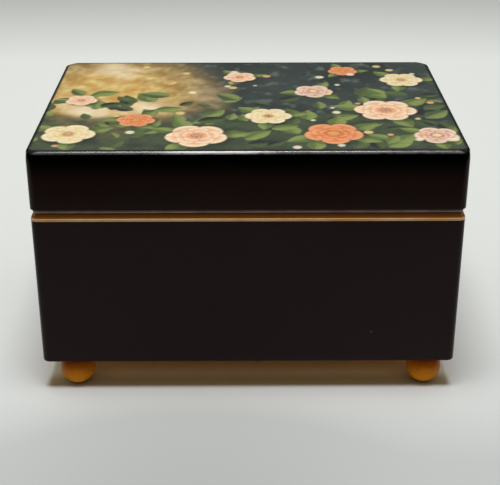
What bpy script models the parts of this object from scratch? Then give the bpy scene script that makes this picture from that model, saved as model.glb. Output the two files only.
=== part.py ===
"""A lacquered music box: a hinged box on ball feet, with an eighteen-note movement under glass."""

import math

import bmesh
import bpy
from mathutils import Matrix, Vector

MM = 0.001
TURN = 2 * math.pi

# Clearances
GAP = 0.3 * MM
RUNNING_GAP = 0.08 * MM
CUT_OVER = 1.0 * MM

# Box
BOX_WIDTH = 152.0 * MM
BOX_DEPTH = 106.4 * MM
WALL = 6.0 * MM
BASE_THICKNESS = 4.0 * MM
BODY_HEIGHT = 56.9 * MM
GILT_HEIGHT = 3.9 * MM
RIM_LIP = 1.0 * MM
RIM_LIP_ROUND = 0.3 * MM
RIM_RECESS = 1.6 * MM
LID_HEIGHT = 21.8 * MM
LID_BOARD = 4.3 * MM
CORNER_ROUND = 1.8 * MM
LID_EDGE_ROUND = 1.4 * MM
BASE_EDGE_ROUND = 0.8 * MM
PICTURE_THICKNESS = 0.3 * MM
PICTURE_MARGIN = 1.0 * MM
PICTURE_CORNER_ROUND = 1.0 * MM

# Ball feet
FOOT_RADIUS = 6.45 * MM
FOOT_FLAT = 0.25 * MM
FOOT_SEAT = 5.1 * MM
FOOT_INSET_X = 11.05 * MM
FOOT_INSET_Y = 6.8 * MM
FEET_OFF_MIDDLE = 0.9 * MM
TENON_RADIUS = 2.5 * MM
TENON_LENGTH = 3.0 * MM

# Hinges
HINGE_LENGTH = 16.0 * MM
HINGE_SPREAD = 90.0 * MM
KNUCKLE_RADIUS = 1.5 * MM
MIDDLE_KNUCKLE = 5.0 * MM
LEAF_THICKNESS = 0.8 * MM
LEAF_REACH = 5.0 * MM
HINGE_PIN_RADIUS = 0.6 * MM
HINGE_OUT = 0.4 * MM

# Inside of the box
PARTITION = 4.0 * MM
PARTITION_HEIGHT = 48.0 * MM
CELL_WIDTH = 58.0 * MM
CELL_DEPTH = 46.5 * MM
LINER = 1.2 * MM
LINER_DROP = 2.0 * MM
PAD_THICKNESS = 4.0 * MM
PAD_ROUND = 1.2 * MM
COVER_THICKNESS = 2.0 * MM
COVER_HEIGHT = 32.4 * MM
LEDGE = 3.0 * MM
LEDGE_THICKNESS = 2.0 * MM
LINING_THICKNESS = 2.0 * MM
MIRROR_THICKNESS = 2.0 * MM
MIRROR_WIDTH = 112.0 * MM
MIRROR_DEPTH = 68.0 * MM
MIRROR_EDGE_ROUND = 0.5 * MM

# Bedplate of the movement
BED_THICKNESS = 2.5 * MM
BED_DEPTH = 38.0 * MM
BED_BACK_MARGIN = 5.0 * MM
BED_SIDE = 0.8 * MM
BED_CORNER_ROUND = 2.0 * MM
CYLINDER_BACK_ROOM = 5.6 * MM
POST = 1.2 * MM
POST_DEPTH = 6.0 * MM
POST_OVER_AXIS = 2.4 * MM
SIDE_GAP = 0.4 * MM

# Spring barrel, its crown wheel and the winding arbor
ARBOR_RADIUS = 2.0 * MM
BARREL_RADIUS = 9.0 * MM
BARREL_WALL = 0.7 * MM
BARREL_HEIGHT = 8.0 * MM
CROWN_TEETH = 48
CROWN_PITCH = 9.2 * MM
CROWN_INNER = 8.5 * MM
CROWN_OUTER = 9.9 * MM
CROWN_DISC = 1.0 * MM
CROWN_TOOTH = 0.8 * MM
CROWN_TIP_SHARE = 0.45
SPRING_INNER = 3.0 * MM
SPRING_TURNS = 5
SPRING_STRIP = 0.35 * MM
BARREL_SIDE = 2.0 * MM

# Pinned cylinder and comb
NOTES = 18
NOTE_PITCH = 1.0 * MM
PINS_A_NOTE = 4
CYLINDER_RADIUS = 6.3 * MM
CYLINDER_ARBOR = 1.1 * MM
PIN_HEIGHT = 0.5 * MM
PIN_WIDTH = 0.4 * MM
PINION_TEETH = 16
PINION_WIDTH = 1.0 * MM
WHEEL_TEETH = 48
WHEEL_PITCH = 6.3 * MM
WHEEL_WIDTH = 1.2 * MM
TOOTH_REACH = 0.28 * MM
TOOTH_ROOT = 0.5 * MM
TOOTH_TIP_SHARE = 0.385
PINION_TOOTH_SHARE = 0.24
WHEEL_TOOTH_SHARE = 0.3
COMB_THICKNESS = 1.0 * MM
TOOTH_SLOT = 0.28 * MM
COMB_TOOTH_LENGTH = 12.0 * MM
COMB_HEEL = 6.5 * MM
COMB_SIDE = 1.0 * MM

# Governor
IDLER_TEETH = 12
IDLER_ARBOR = 0.6 * MM
IDLER_ANGLE = math.radians(-150.0)
WORM_WHEEL_TEETH = 24
WORM_WHEEL_PITCH = 3.5 * MM
WORM_WHEEL_WIDTH = 0.9 * MM
WORM_WHEEL_REACH = 0.1 * MM
WORM_WHEEL_ROOT = 0.35 * MM
WORM_WHEEL_SHARE = 0.2
WORM_STARTS = 2
WORM_PITCH = 1.3 * MM
WORM_CORE = 1.05 * MM
WORM_THREAD = 0.22 * MM
WORM_SHAFT = 0.5 * MM
WORM_TURNS = 2
FRAME_CHEEK = 1.0 * MM
FRAME_INSIDE = 3.8 * MM
FRAME_FRONT = 5.0 * MM
FRAME_OVER_AXIS = 6.4 * MM
FRAME_BEHIND_IDLER = 2.4 * MM
CAP_THICKNESS = 1.0 * MM
FAN_SPAN = 10.0 * MM
FAN_HEIGHT = 4.0 * MM
FAN_BLADE = 0.5 * MM
FAN_HUB = 1.1 * MM

# Stop wire that the lid holds down
STOP_WIRE_RADIUS = 0.7 * MM
STOP_BEND = 2.5 * MM
STOP_SIDE = 6.0 * MM
STOP_BACK = 5.0 * MM
BUSH_RADIUS = 1.8 * MM
BUSH_FLANGE = 3.0 * MM
BUSH_FLANGE_HEIGHT = 0.8 * MM
COLLAR_RADIUS = 2.7 * MM
COLLAR_HEIGHT = 1.2 * MM
RETURN_SPRING_LENGTH = 9.0 * MM
RETURN_SPRING_RADIUS = 2.0 * MM
RETURN_SPRING_WIRE = 0.3 * MM
RETURN_SPRING_TURNS = 7
RETURN_SPRING_POINTS = 9

# Key and screws
KEY_DROP = 1.0 * MM
KEY_SHANK_RADIUS = 2.8 * MM
KEY_SHANK_LENGTH = 5.6 * MM
KEY_BORE_DEPTH = 4.6 * MM
KEY_EAR_RADIUS = 3.5 * MM
KEY_EAR_SPREAD = 5.4 * MM
KEY_PLATE = 1.2 * MM
KEY_EAR_DROP = 5.6 * MM
SCREW_RADIUS = 1.2 * MM
SCREW_HEAD_RADIUS = 2.6 * MM
SCREW_HEAD_HEIGHT = 1.3 * MM
SCREW_INSET = 3.0 * MM
COMB_SCREW_RADIUS = 0.9 * MM
COMB_SCREW_HEAD = 1.7 * MM
COMB_SCREW_LENGTH = 5.0 * MM
COMB_SCREW_HEAD_HEIGHT = 1.0 * MM

# Places that follow from the sizes, along X
LEFT = -BOX_WIDTH / 2
RIGHT = BOX_WIDTH / 2
INNER_LEFT = LEFT + WALL
INNER_RIGHT = RIGHT - WALL
CELL_RIGHT = INNER_LEFT + CELL_WIDTH
TRAY_LEFT = CELL_RIGHT + PARTITION
BARREL_X = INNER_LEFT + BARREL_SIDE + CROWN_OUTER
PINION_X = BARREL_X + CROWN_PITCH
LEFT_POST_X = BARREL_X + CROWN_OUTER + SIDE_GAP
CYLINDER_X = LEFT_POST_X + POST + SIDE_GAP
CYLINDER_LENGTH = NOTES * NOTE_PITCH
WHEEL_X = CYLINDER_X + CYLINDER_LENGTH + SIDE_GAP
RIGHT_POST_X = WHEEL_X + WHEEL_WIDTH + SIDE_GAP
FRAME_X = RIGHT_POST_X + POST + SIDE_GAP
WORM_X = FRAME_X + FRAME_CHEEK + FRAME_INSIDE / 2
FRAME_END_X = FRAME_X + 2 * FRAME_CHEEK + FRAME_INSIDE
BED_LEFT = BARREL_X - CROWN_OUTER - BED_SIDE
BED_RIGHT = FRAME_END_X + BED_SIDE

# Along Y: the knuckles stand out behind the box
FRONT = -(BOX_DEPTH + HINGE_OUT + KNUCKLE_RADIUS) / 2
BACK = FRONT + BOX_DEPTH
INNER_FRONT = FRONT + WALL
INNER_BACK = BACK - WALL
HINGE_Y = BACK + HINGE_OUT
CELL_FRONT = INNER_BACK - CELL_DEPTH
BED_BACK = INNER_BACK - BED_BACK_MARGIN
BED_FRONT = BED_BACK - BED_DEPTH
CYLINDER_Y = BED_BACK - CYLINDER_BACK_ROOM - CYLINDER_RADIUS
COMB_TIP_Y = CYLINDER_Y - CYLINDER_RADIUS - PIN_HEIGHT - GAP
COMB_ROOT_Y = COMB_TIP_Y - COMB_TOOTH_LENGTH
COMB_FRONT_Y = COMB_ROOT_Y - COMB_HEEL

# Along Z
FOOT_Z = FOOT_RADIUS - FOOT_FLAT
BASE_Z = FOOT_Z + FOOT_SEAT + GAP
FLOOR_Z = BASE_Z + BASE_THICKNESS
GILT_Z = BASE_Z + BODY_HEIGHT
RIM_Z = GILT_Z + GILT_HEIGHT
LID_Z = RIM_Z + GAP
TOP_Z = LID_Z + LID_HEIGHT
HINGE_Z = RIM_Z + GAP / 2
LID_BOARD_TOP = TOP_Z - PICTURE_THICKNESS - GAP
LID_BOARD_Z = LID_BOARD_TOP - LID_BOARD
LINING_Z = LID_BOARD_Z - GAP - LINING_THICKNESS
PARTITION_Z = FLOOR_Z + PARTITION_HEIGHT
COVER_Z = FLOOR_Z + COVER_HEIGHT
BED_Z = FLOOR_Z + GAP
BED_TOP = BED_Z + BED_THICKNESS
BARREL_Z = BED_TOP + GAP
CROWN_Z = BARREL_Z + BARREL_HEIGHT + GAP
CROWN_ROOT_Z = CROWN_Z + CROWN_DISC
PINION_PITCH = CROWN_PITCH * PINION_TEETH / CROWN_TEETH
CYLINDER_Z = CROWN_ROOT_Z + CROWN_TOOTH / 2 + PINION_PITCH
COMB_Z = CYLINDER_Z - COMB_THICKNESS / 2
IDLER_PITCH = WHEEL_PITCH * IDLER_TEETH / WHEEL_TEETH
IDLER_Y = CYLINDER_Y + (WHEEL_PITCH + IDLER_PITCH) * math.cos(IDLER_ANGLE)
IDLER_Z = CYLINDER_Z + (WHEEL_PITCH + IDLER_PITCH) * math.sin(IDLER_ANGLE)
WORM_Y = IDLER_Y - WORM_WHEEL_PITCH - WORM_PITCH
FRAME_TOP = IDLER_Z + FRAME_OVER_AXIS
CAP_Z = FRAME_TOP + GAP
FAN_Z = CAP_Z + CAP_THICKNESS + GAP
STOP_X = CELL_RIGHT - STOP_SIDE
STOP_Y = INNER_BACK - STOP_BACK
ARM_Z = FAN_Z + FAN_HEIGHT + GAP + STOP_WIRE_RADIUS
BUSH_TOP = COVER_Z + COVER_THICKNESS + GAP + BUSH_FLANGE_HEIGHT
COLLAR_Z = BUSH_TOP + RETURN_SPRING_LENGTH + 2 * GAP
KEY_Z = BASE_Z - KEY_DROP

# Upright corners of a board, by the signs of their X and Y
FRONT_CORNERS = {(-1, -1), (1, -1)}
BACK_CORNERS = {(-1, 1), (1, 1)}
ALL_CORNERS = FRONT_CORNERS | BACK_CORNERS

# A part whose own Z axis lies along the box's X axis
ALONG_X = (math.pi / 2, 0, math.pi / 2)
# A part whose own Z axis points to the front
FACING_FRONT = (math.pi / 2, 0, 0)


def clear_scene():
    """Start from an empty file."""
    for old in list(bpy.data.objects):
        bpy.data.objects.remove(old, do_unlink=True)


def new_collection(name):
    """A collection linked to the scene."""
    collection = bpy.data.collections.new(name)
    bpy.context.scene.collection.children.link(collection)
    return collection


def material(name, colour, roughness, metallic=0.0, alpha=1.0):
    """A plain finish with the piece's own colour."""
    finish = bpy.data.materials.new(name)
    finish.use_nodes = True
    shader = finish.node_tree.nodes["Principled BSDF"]
    shader.inputs["Base Color"].default_value = (*colour, 1.0)
    shader.inputs["Roughness"].default_value = roughness
    shader.inputs["Metallic"].default_value = metallic
    shader.inputs["Alpha"].default_value = alpha
    return finish


clear_scene()
PARTS = new_collection("music_box")
CUTTERS = new_collection("cutters")

LACQUER = material("black_lacquer", (0.008, 0.005, 0.005), 0.15)
GILT = material("gold_paint", (0.42, 0.24, 0.06), 0.35)
FOOT_STAIN = material("amber_stained_wood", (0.35, 0.14, 0.02), 0.3)
PRINT = material("varnished_print", (0.16, 0.15, 0.12), 0.3)
VELVET = material("wine_velvet", (0.13, 0.01, 0.02), 0.9)
BRASS = material("brass", (0.72, 0.52, 0.22), 0.3, 1.0)
STEEL = material("steel", (0.55, 0.55, 0.56), 0.3, 1.0)
CASTING = material("plated_casting", (0.6, 0.6, 0.58), 0.4, 1.0)
NYLON = material("white_nylon", (0.75, 0.73, 0.68), 0.5)
GLASS = material("cover_glass", (0.9, 0.95, 0.95), 0.05, 0.0, 0.3)
MIRROR = material("mirror_glass", (0.85, 0.87, 0.88), 0.03, 1.0)


def axis_empty(name, place):
    """An empty on a joint's axis, which carries the pieces that move about it."""
    empty = bpy.data.objects.new(name, None)
    empty.location = place
    PARTS.objects.link(empty)
    return empty


LID_AXIS = axis_empty("lid_axis", (0, HINGE_Y, HINGE_Z))
WINDING_AXIS = axis_empty("winding_axis", (BARREL_X, CYLINDER_Y, KEY_Z))
BARREL_AXIS = axis_empty("barrel_axis", (BARREL_X, CYLINDER_Y, BARREL_Z))
CYLINDER_AXIS = axis_empty("cylinder_axis", (CYLINDER_X, CYLINDER_Y, CYLINDER_Z))
IDLER_AXIS = axis_empty("idler_axis", (WORM_X, IDLER_Y, IDLER_Z))
GOVERNOR_AXIS = axis_empty("governor_axis", (WORM_X, WORM_Y, IDLER_Z))
STOP_AXIS = axis_empty("stop_axis", (STOP_X, STOP_Y, COLLAR_Z))


def add(name, data, place=(0, 0, 0), finish=None, turned_to=(0, 0, 0), carrier=None):
    """A new object, as a part with a finish or as a cutter without one, riding on its carrier."""
    piece = bpy.data.objects.new(name, data)
    piece.rotation_euler = turned_to
    piece.location = Vector(place)
    if finish is None:
        piece.hide_render = True
        piece.display_type = "WIRE"
        CUTTERS.objects.link(piece)
        return piece
    piece.data.materials.append(finish)
    if carrier is not None:
        piece.parent = carrier
        piece.location = Vector(place) - carrier.location
    PARTS.objects.link(piece)
    return piece


def mesh_from(name, shape):
    """Turn a bmesh into mesh data."""
    mesh = bpy.data.meshes.new(name)
    shape.to_mesh(mesh)
    shape.free()
    return mesh


def soften(mesh, angle=35.0):
    """Shade a round piece smooth, with its edges kept sharp."""
    mesh.shade_smooth()
    mesh.set_sharp_from_angle(angle=math.radians(angle))


def round_edges(shape, chosen, radius, segments):
    """Bevel the edges of a bmesh that pass a test."""
    edges = [edge for edge in shape.edges if chosen(edge)]
    bmesh.ops.bevel(
        shape, geom=edges, offset=radius, offset_type="OFFSET", segments=segments, profile=0.5,
        affect="EDGES", clamp_overlap=True, material=-1,
    )


def box_shape(low, high):
    """A bmesh box between two corners, with its origin at its centre, and that centre."""
    size = Vector(high) - Vector(low)
    shape = bmesh.new()
    bmesh.ops.create_cube(shape, size=1.0)
    bmesh.ops.scale(shape, vec=size, verts=shape.verts)
    return shape, size, (Vector(high) + Vector(low)) / 2


def board(name, low, high, finish=None, carrier=None, corners=(), corner_round=CORNER_ROUND,
          face=None, face_round=0.0):
    """A board between two corners. Its upright corners named by their X and Y signs are rounded,
    and so are the edges of its top or bottom face."""
    shape, size, centre = box_shape(low, high)

    def upright_corner(edge):
        a, b = (vert.co for vert in edge.verts)
        if abs(a.z - b.z) < size.z / 2:
            return False
        return (math.copysign(1, a.x), math.copysign(1, a.y)) in corners

    if corners:
        round_edges(shape, upright_corner, corner_round, 3)
    if face:
        level = math.copysign(size.z / 2, face)
        round_edges(shape, lambda edge: all(abs(v.co.z - level) < 1e-7 for v in edge.verts), face_round, 2)
    return add(name, mesh_from(name, shape), centre, finish, carrier=carrier)


def cylinder(name, radius, bottom, top, x, y, finish=None, carrier=None, sides=20):
    """An upright cylinder between two heights."""
    shape = bmesh.new()
    bmesh.ops.create_cone(
        shape, cap_ends=True, segments=sides, radius1=radius, radius2=radius, depth=top - bottom
    )
    mesh = mesh_from(name, shape)
    soften(mesh)
    return add(name, mesh, (x, y, (bottom + top) / 2), finish, carrier=carrier)


def cross_cylinder(name, radius, start, end, y, z, finish=None, carrier=None, sides=20):
    """A cylinder along X between two places."""
    shape = bmesh.new()
    bmesh.ops.create_cone(
        shape, cap_ends=True, segments=sides, radius1=radius, radius2=radius, depth=end - start
    )
    mesh = mesh_from(name, shape)
    soften(mesh)
    return add(name, mesh, ((start + end) / 2, y, z), finish, ALONG_X, carrier)


def turned(name, profile, place, finish=None, carrier=None, turned_to=(0, 0, 0), steps=24, closed=False):
    """A profile of (radius, height) points, outer side downwards, turned about its own Z axis."""
    mesh = bpy.data.meshes.new(name)
    points = [(radius, 0, height) for radius, height in profile]
    edges = [(index, index + 1) for index in range(len(points) - 1)]
    if closed:
        edges.append((len(points) - 1, 0))
    mesh.from_pydata(points, edges, [])
    piece = add(name, mesh, place, finish, turned_to, carrier)
    screw = piece.modifiers.new("turn", "SCREW")
    screw.axis = "Z"
    screw.angle = TURN
    screw.steps = steps
    screw.render_steps = steps
    screw.use_merge_vertices = True
    screw.merge_threshold = 1e-6
    screw.use_smooth_shade = False
    return piece


def ring(name, inner, outer, bottom, top, x, y, finish=None, carrier=None, steps=24):
    """An upright ring between two heights."""
    middle = (bottom + top) / 2
    half = (top - bottom) / 2
    profile = [(outer, half), (outer, -half), (inner, -half), (inner, half)]
    return turned(name, profile, (x, y, middle), finish, carrier, steps=steps, closed=True)


def flat(name, outlines, thickness, place, finish=None, carrier=None, turned_to=(0, 0, 0)):
    """Flat outlines, filled between them and given a thickness about their own plane."""
    curve = bpy.data.curves.new(name, "CURVE")
    curve.dimensions = "2D"
    curve.fill_mode = "BOTH"
    curve.extrude = thickness / 2
    for outline in outlines:
        spline = curve.splines.new("POLY")
        spline.points.add(len(outline) - 1)
        for point, (x, y) in zip(spline.points, outline):
            point.co = (x, y, 0, 1)
        spline.use_cyclic_u = True
    return add(name, curve, place, finish, turned_to, carrier)


def wire(name, points, radius, finish=None, carrier=None, place=(0, 0, 0), fineness=2):
    """A round wire along a list of points given in the box's frame."""
    curve = bpy.data.curves.new(name, "CURVE")
    curve.dimensions = "3D"
    curve.bevel_depth = radius
    curve.bevel_resolution = fineness
    curve.use_fill_caps = True
    spline = curve.splines.new("POLY")
    spline.points.add(len(points) - 1)
    for point, spot in zip(spline.points, points):
        point.co = (*(Vector(spot) - Vector(place)), 1)
    return add(name, curve, place, finish, carrier=carrier)


def as_mesh(piece):
    """Replace a curve object by the mesh it draws, with its caps welded on."""
    bpy.context.view_layer.update()
    depsgraph = bpy.context.evaluated_depsgraph_get()
    mesh = bpy.data.meshes.new_from_object(piece.evaluated_get(depsgraph))
    shape = bmesh.new()
    shape.from_mesh(mesh)
    bmesh.ops.remove_doubles(shape, verts=shape.verts, dist=1e-7)
    shape.to_mesh(mesh)
    shape.free()
    name = piece.name
    solid = bpy.data.objects.new(name + "_solid", mesh)
    for collection in piece.users_collection:
        collection.objects.link(solid)
    solid.parent = piece.parent
    solid.matrix_world = piece.matrix_world
    solid.hide_render = piece.hide_render
    solid.display_type = piece.display_type
    bpy.data.objects.remove(piece, do_unlink=True)
    solid.name = name
    return solid


def combine(piece, tool, operation):
    """A Boolean between a piece and a hidden tool."""
    boolean = piece.modifiers.new(tool.name, "BOOLEAN")
    boolean.operation = operation
    boolean.solver = "EXACT"
    boolean.object = tool
    return piece


def cut(piece, tool):
    """Take a tool's shape out of a piece."""
    return combine(piece, tool, "DIFFERENCE")


def fuse(piece, tool):
    """Make a tool's shape part of a piece."""
    return combine(piece, tool, "UNION")


def circle(radius, sides, turned_by=0.0):
    """Points round a circle."""
    angles = [TURN * index / sides + turned_by for index in range(sides)]
    return [(radius * math.cos(angle), radius * math.sin(angle)) for angle in angles]


def gear_outline(teeth, pitch_radius, reach, root, turned_by, share):
    """A gear's outline, with a tooth centred on the angle turned_by, whose half width at the root
    is the given share of the step between teeth."""
    step = TURN / teeth
    outline = []
    for index in range(teeth):
        middle = index * step + turned_by
        corners = (
            (pitch_radius - root, -share),
            (pitch_radius + reach, -share * TOOTH_TIP_SHARE),
            (pitch_radius + reach, share * TOOTH_TIP_SHARE),
            (pitch_radius - root, share),
        )
        for radius, offset in corners:
            angle = middle + offset * step
            outline.append((radius * math.cos(angle), radius * math.sin(angle)))
    return outline


def make_base():
    """The bottom board, bored for the feet, the key's arbor and the movement's screws."""
    base = board(
        "bottom_board", (LEFT, FRONT, BASE_Z), (RIGHT, BACK, FLOOR_Z), LACQUER,
        corners=ALL_CORNERS, face=-1, face_round=BASE_EDGE_ROUND,
    )
    for side, end, x, y in foot_places():
        tenon_hole = cylinder(
            f"tenon_hole_{end}_{side}", TENON_RADIUS + GAP, BASE_Z - CUT_OVER, BASE_Z + TENON_LENGTH,
            x, y, sides=16,
        )
        cut(base, tenon_hole)
    cut(base, cylinder("arbor_hole", ARBOR_RADIUS + 3 * GAP, BASE_Z - CUT_OVER, FLOOR_Z + CUT_OVER,
                       BARREL_X, CYLINDER_Y))
    for number, (x, y) in enumerate(screw_places(), 1):
        cut(base, cylinder(f"screw_hole_{number}", SCREW_RADIUS + GAP, BASE_Z - CUT_OVER,
                           FLOOR_Z + CUT_OVER, x, y, sides=16))


def foot_places():
    """Each foot's side, end and centre."""
    places = []
    left, right = LEFT + FOOT_INSET_X + FEET_OFF_MIDDLE, RIGHT - FOOT_INSET_X + FEET_OFF_MIDDLE
    for side, x in (("left", left), ("right", right)):
        for end, y in (("front", FRONT + FOOT_INSET_Y), ("back", BACK - FOOT_INSET_Y)):
            places.append((side, end, x, y))
    return places


def make_feet():
    """Turned balls with a small flat to stand on, a flat seat and a tenon into the bottom board."""
    neck = math.acos(FOOT_SEAT / FOOT_RADIUS)
    sole = math.acos((FOOT_RADIUS - FOOT_FLAT) / FOOT_RADIUS)
    arcs = 10
    sweep = math.pi - neck - sole
    tenon_top = FOOT_SEAT + TENON_LENGTH
    profile = [(0, tenon_top), (TENON_RADIUS, tenon_top), (TENON_RADIUS, FOOT_SEAT)]
    for index in range(arcs + 1):
        angle = neck + sweep * index / arcs
        profile.append((FOOT_RADIUS * math.sin(angle), FOOT_RADIUS * math.cos(angle)))
    profile.append((0, -FOOT_Z))
    for side, end, x, y in foot_places():
        turned(f"ball_foot_{end}_{side}", profile, (x, y, FOOT_Z), FOOT_STAIN, steps=20)


def make_walls():
    """Four lacquered walls: front and back run the full width, the sides stand between them."""
    low, high = FLOOR_Z + GAP, GILT_Z
    board("case_front", (LEFT, FRONT, low), (RIGHT, INNER_FRONT, high), LACQUER,
          corners=FRONT_CORNERS)
    board("case_back", (LEFT, INNER_BACK, low), (RIGHT, BACK, high), LACQUER,
          corners=BACK_CORNERS)
    board("case_left", (LEFT, INNER_FRONT + GAP, low), (INNER_LEFT, INNER_BACK - GAP, high), LACQUER)
    board("case_right", (INNER_RIGHT, INNER_FRONT + GAP, low), (RIGHT, INNER_BACK - GAP, high), LACQUER)


def moulding(name, length, turned_by, place):
    """A mitred strip with a low rounded lip as wide as the wall, and a band set back above it. Its
    outer face looks along its own -Y and its own origin is at the middle of that face's lower edge."""
    bottom = GAP
    arcs = 3
    section = [(0, bottom)]
    for index in range(arcs + 1):
        angle = math.pi / 2 * index / arcs
        up = RIM_LIP - RIM_LIP_ROUND * (1 - math.sin(angle))
        section.append((RIM_LIP_ROUND * (1 - math.cos(angle)), up))
    section += [(RIM_RECESS, RIM_LIP), (RIM_RECESS, GILT_HEIGHT), (WALL, GILT_HEIGHT), (WALL, bottom)]
    shape = bmesh.new()
    verts = [shape.verts.new((-length, depth, height)) for depth, height in section]
    face = shape.faces.new(verts)
    pushed = bmesh.ops.extrude_face_region(shape, geom=[face])
    moved = [item for item in pushed["geom"] if isinstance(item, bmesh.types.BMVert)]
    bmesh.ops.translate(shape, vec=(2 * length, 0, 0), verts=moved)
    for sign in (-1, 1):
        end = length / 2 - GAP / 2
        geometry = shape.verts[:] + shape.edges[:] + shape.faces[:]
        sliced = bmesh.ops.bisect_plane(
            shape, geom=geometry, plane_co=(sign * end, 0, 0), plane_no=(sign, 1, 0),
            clear_outer=True, dist=1e-8,
        )
        rim = [item for item in sliced["geom_cut"] if isinstance(item, bmesh.types.BMEdge)]
        bmesh.ops.contextual_create(shape, geom=rim)
    bmesh.ops.recalc_face_normals(shape, faces=shape.faces)
    return add(name, mesh_from(name, shape), place, GILT, (0, 0, turned_by))


def make_rim():
    """Gold strips on top of the walls, the back one let in for the hinges."""
    middle = (FRONT + BACK) / 2
    moulding("rim_front", BOX_WIDTH, 0, (0, FRONT, GILT_Z))
    moulding("rim_right", BOX_DEPTH, math.pi / 2, (RIGHT, middle, GILT_Z))
    moulding("rim_left", BOX_DEPTH, -math.pi / 2, (LEFT, middle, GILT_Z))
    rim_back = moulding("rim_back", BOX_WIDTH, math.pi, (0, BACK, GILT_Z))
    for side, x in hinge_places():
        cut(rim_back, board(
            f"rim_mortise_{side}",
            (x - HINGE_LENGTH / 2 - GAP, BACK - LEAF_REACH - GAP, RIM_Z - LEAF_THICKNESS - GAP),
            (x + HINGE_LENGTH / 2 + GAP, BACK + CUT_OVER, RIM_Z + CUT_OVER),
        ))
        cut(rim_back, knuckle_room(f"rim_knuckle_room_{side}", x))


def hinge_places():
    """Each hinge's side and middle."""
    return (("left", -HINGE_SPREAD / 2), ("right", HINGE_SPREAD / 2))


def knuckle_room(name, x):
    """The groove that lets a hinge's knuckles turn clear of the wood."""
    return cross_cylinder(name, KNUCKLE_RADIUS + GAP, x - HINGE_LENGTH / 2 - GAP,
                          x + HINGE_LENGTH / 2 + GAP, HINGE_Y, HINGE_Z, sides=16)


def hinge_leaf(name, x, above, carrier=None):
    """One leaf of a butt hinge: the lid's leaf has the middle knuckle, the body's the outer two."""
    half = HINGE_LENGTH / 2
    inner = MIDDLE_KNUCKLE / 2
    bottom = LID_Z if above else RIM_Z - LEAF_THICKNESS
    far, notch = -LEAF_REACH - HINGE_OUT, -KNUCKLE_RADIUS - GAP
    if above:
        outline = [(-half, far), (half, far), (half, notch), (inner, notch), (inner, 0),
                   (-inner, 0), (-inner, notch), (-half, notch)]
        knuckles = [(-inner, inner)]
    else:
        inner += GAP
        outline = [(-half, far), (half, far), (half, 0), (inner, 0), (inner, notch),
                   (-inner, notch), (-inner, 0), (-half, 0)]
        knuckles = [(-half, -inner), (inner, half)]
    leaf = as_mesh(flat(name, [outline], LEAF_THICKNESS, (x, HINGE_Y, bottom + LEAF_THICKNESS / 2),
                        BRASS, carrier))
    for number, (start, end) in enumerate(knuckles, 1):
        fuse(leaf, cross_cylinder(f"{name}_knuckle_{number}", KNUCKLE_RADIUS, x + start, x + end,
                                  HINGE_Y, HINGE_Z, sides=16))
    return cut(leaf, cross_cylinder(f"{name}_bore", HINGE_PIN_RADIUS + RUNNING_GAP,
                                    x - half - CUT_OVER, x + half + CUT_OVER, HINGE_Y, HINGE_Z,
                                    sides=16))


def make_hinges():
    """Two butt hinges with their pins."""
    for side, x in hinge_places():
        hinge_leaf(f"hinge_{side}_body_leaf", x, False)
        hinge_leaf(f"hinge_{side}_lid_leaf", x, True, LID_AXIS)
        cross_cylinder(f"hinge_{side}_pin", HINGE_PIN_RADIUS, x - HINGE_LENGTH / 2, x + HINGE_LENGTH / 2,
                       HINGE_Y, HINGE_Z, BRASS, sides=16)


def make_lid():
    """The lid's rails and board, its picture, and the lining and mirror inside."""
    low, high = LID_Z, LID_BOARD_Z - GAP
    board("lid_front_rail", (LEFT, FRONT, low), (RIGHT, INNER_FRONT, high), LACQUER, LID_AXIS,
          corners=FRONT_CORNERS)
    back_rail = board("lid_back_rail", (LEFT, INNER_BACK, low), (RIGHT, BACK, high), LACQUER, LID_AXIS,
                      corners=BACK_CORNERS)
    board("lid_left_rail", (LEFT, INNER_FRONT + GAP, low), (INNER_LEFT, INNER_BACK - GAP, high),
          LACQUER, LID_AXIS)
    board("lid_right_rail", (INNER_RIGHT, INNER_FRONT + GAP, low), (RIGHT, INNER_BACK - GAP, high),
          LACQUER, LID_AXIS)
    for side, x in hinge_places():
        cut(back_rail, board(
            f"lid_mortise_{side}",
            (x - HINGE_LENGTH / 2 - GAP, BACK - LEAF_REACH - GAP, LID_Z - CUT_OVER),
            (x + HINGE_LENGTH / 2 + GAP, BACK + CUT_OVER, LID_Z + LEAF_THICKNESS + GAP),
        ))
        cut(back_rail, knuckle_room(f"lid_knuckle_room_{side}", x))
    board("lid_board", (LEFT, FRONT, LID_BOARD_Z), (RIGHT, BACK, LID_BOARD_TOP), LACQUER, LID_AXIS,
          corners=ALL_CORNERS, face=1, face_round=LID_EDGE_ROUND)
    board("lid_picture", (LEFT + PICTURE_MARGIN, FRONT + PICTURE_MARGIN, TOP_Z - PICTURE_THICKNESS),
          (RIGHT - PICTURE_MARGIN, BACK - PICTURE_MARGIN, TOP_Z), PRINT, LID_AXIS,
          corners=ALL_CORNERS, corner_round=PICTURE_CORNER_ROUND)
    board("lid_lining", (INNER_LEFT + GAP, INNER_FRONT + GAP, LINING_Z),
          (INNER_RIGHT - GAP, INNER_BACK - GAP, LINING_Z + LINING_THICKNESS), VELVET, LID_AXIS)
    middle = (FRONT + BACK) / 2
    board("lid_mirror", (-MIRROR_WIDTH / 2, middle - MIRROR_DEPTH / 2, LINING_Z - GAP - MIRROR_THICKNESS),
          (MIRROR_WIDTH / 2, middle + MIRROR_DEPTH / 2, LINING_Z - GAP), MIRROR, LID_AXIS,
          face=-1, face_round=MIRROR_EDGE_ROUND)


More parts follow.
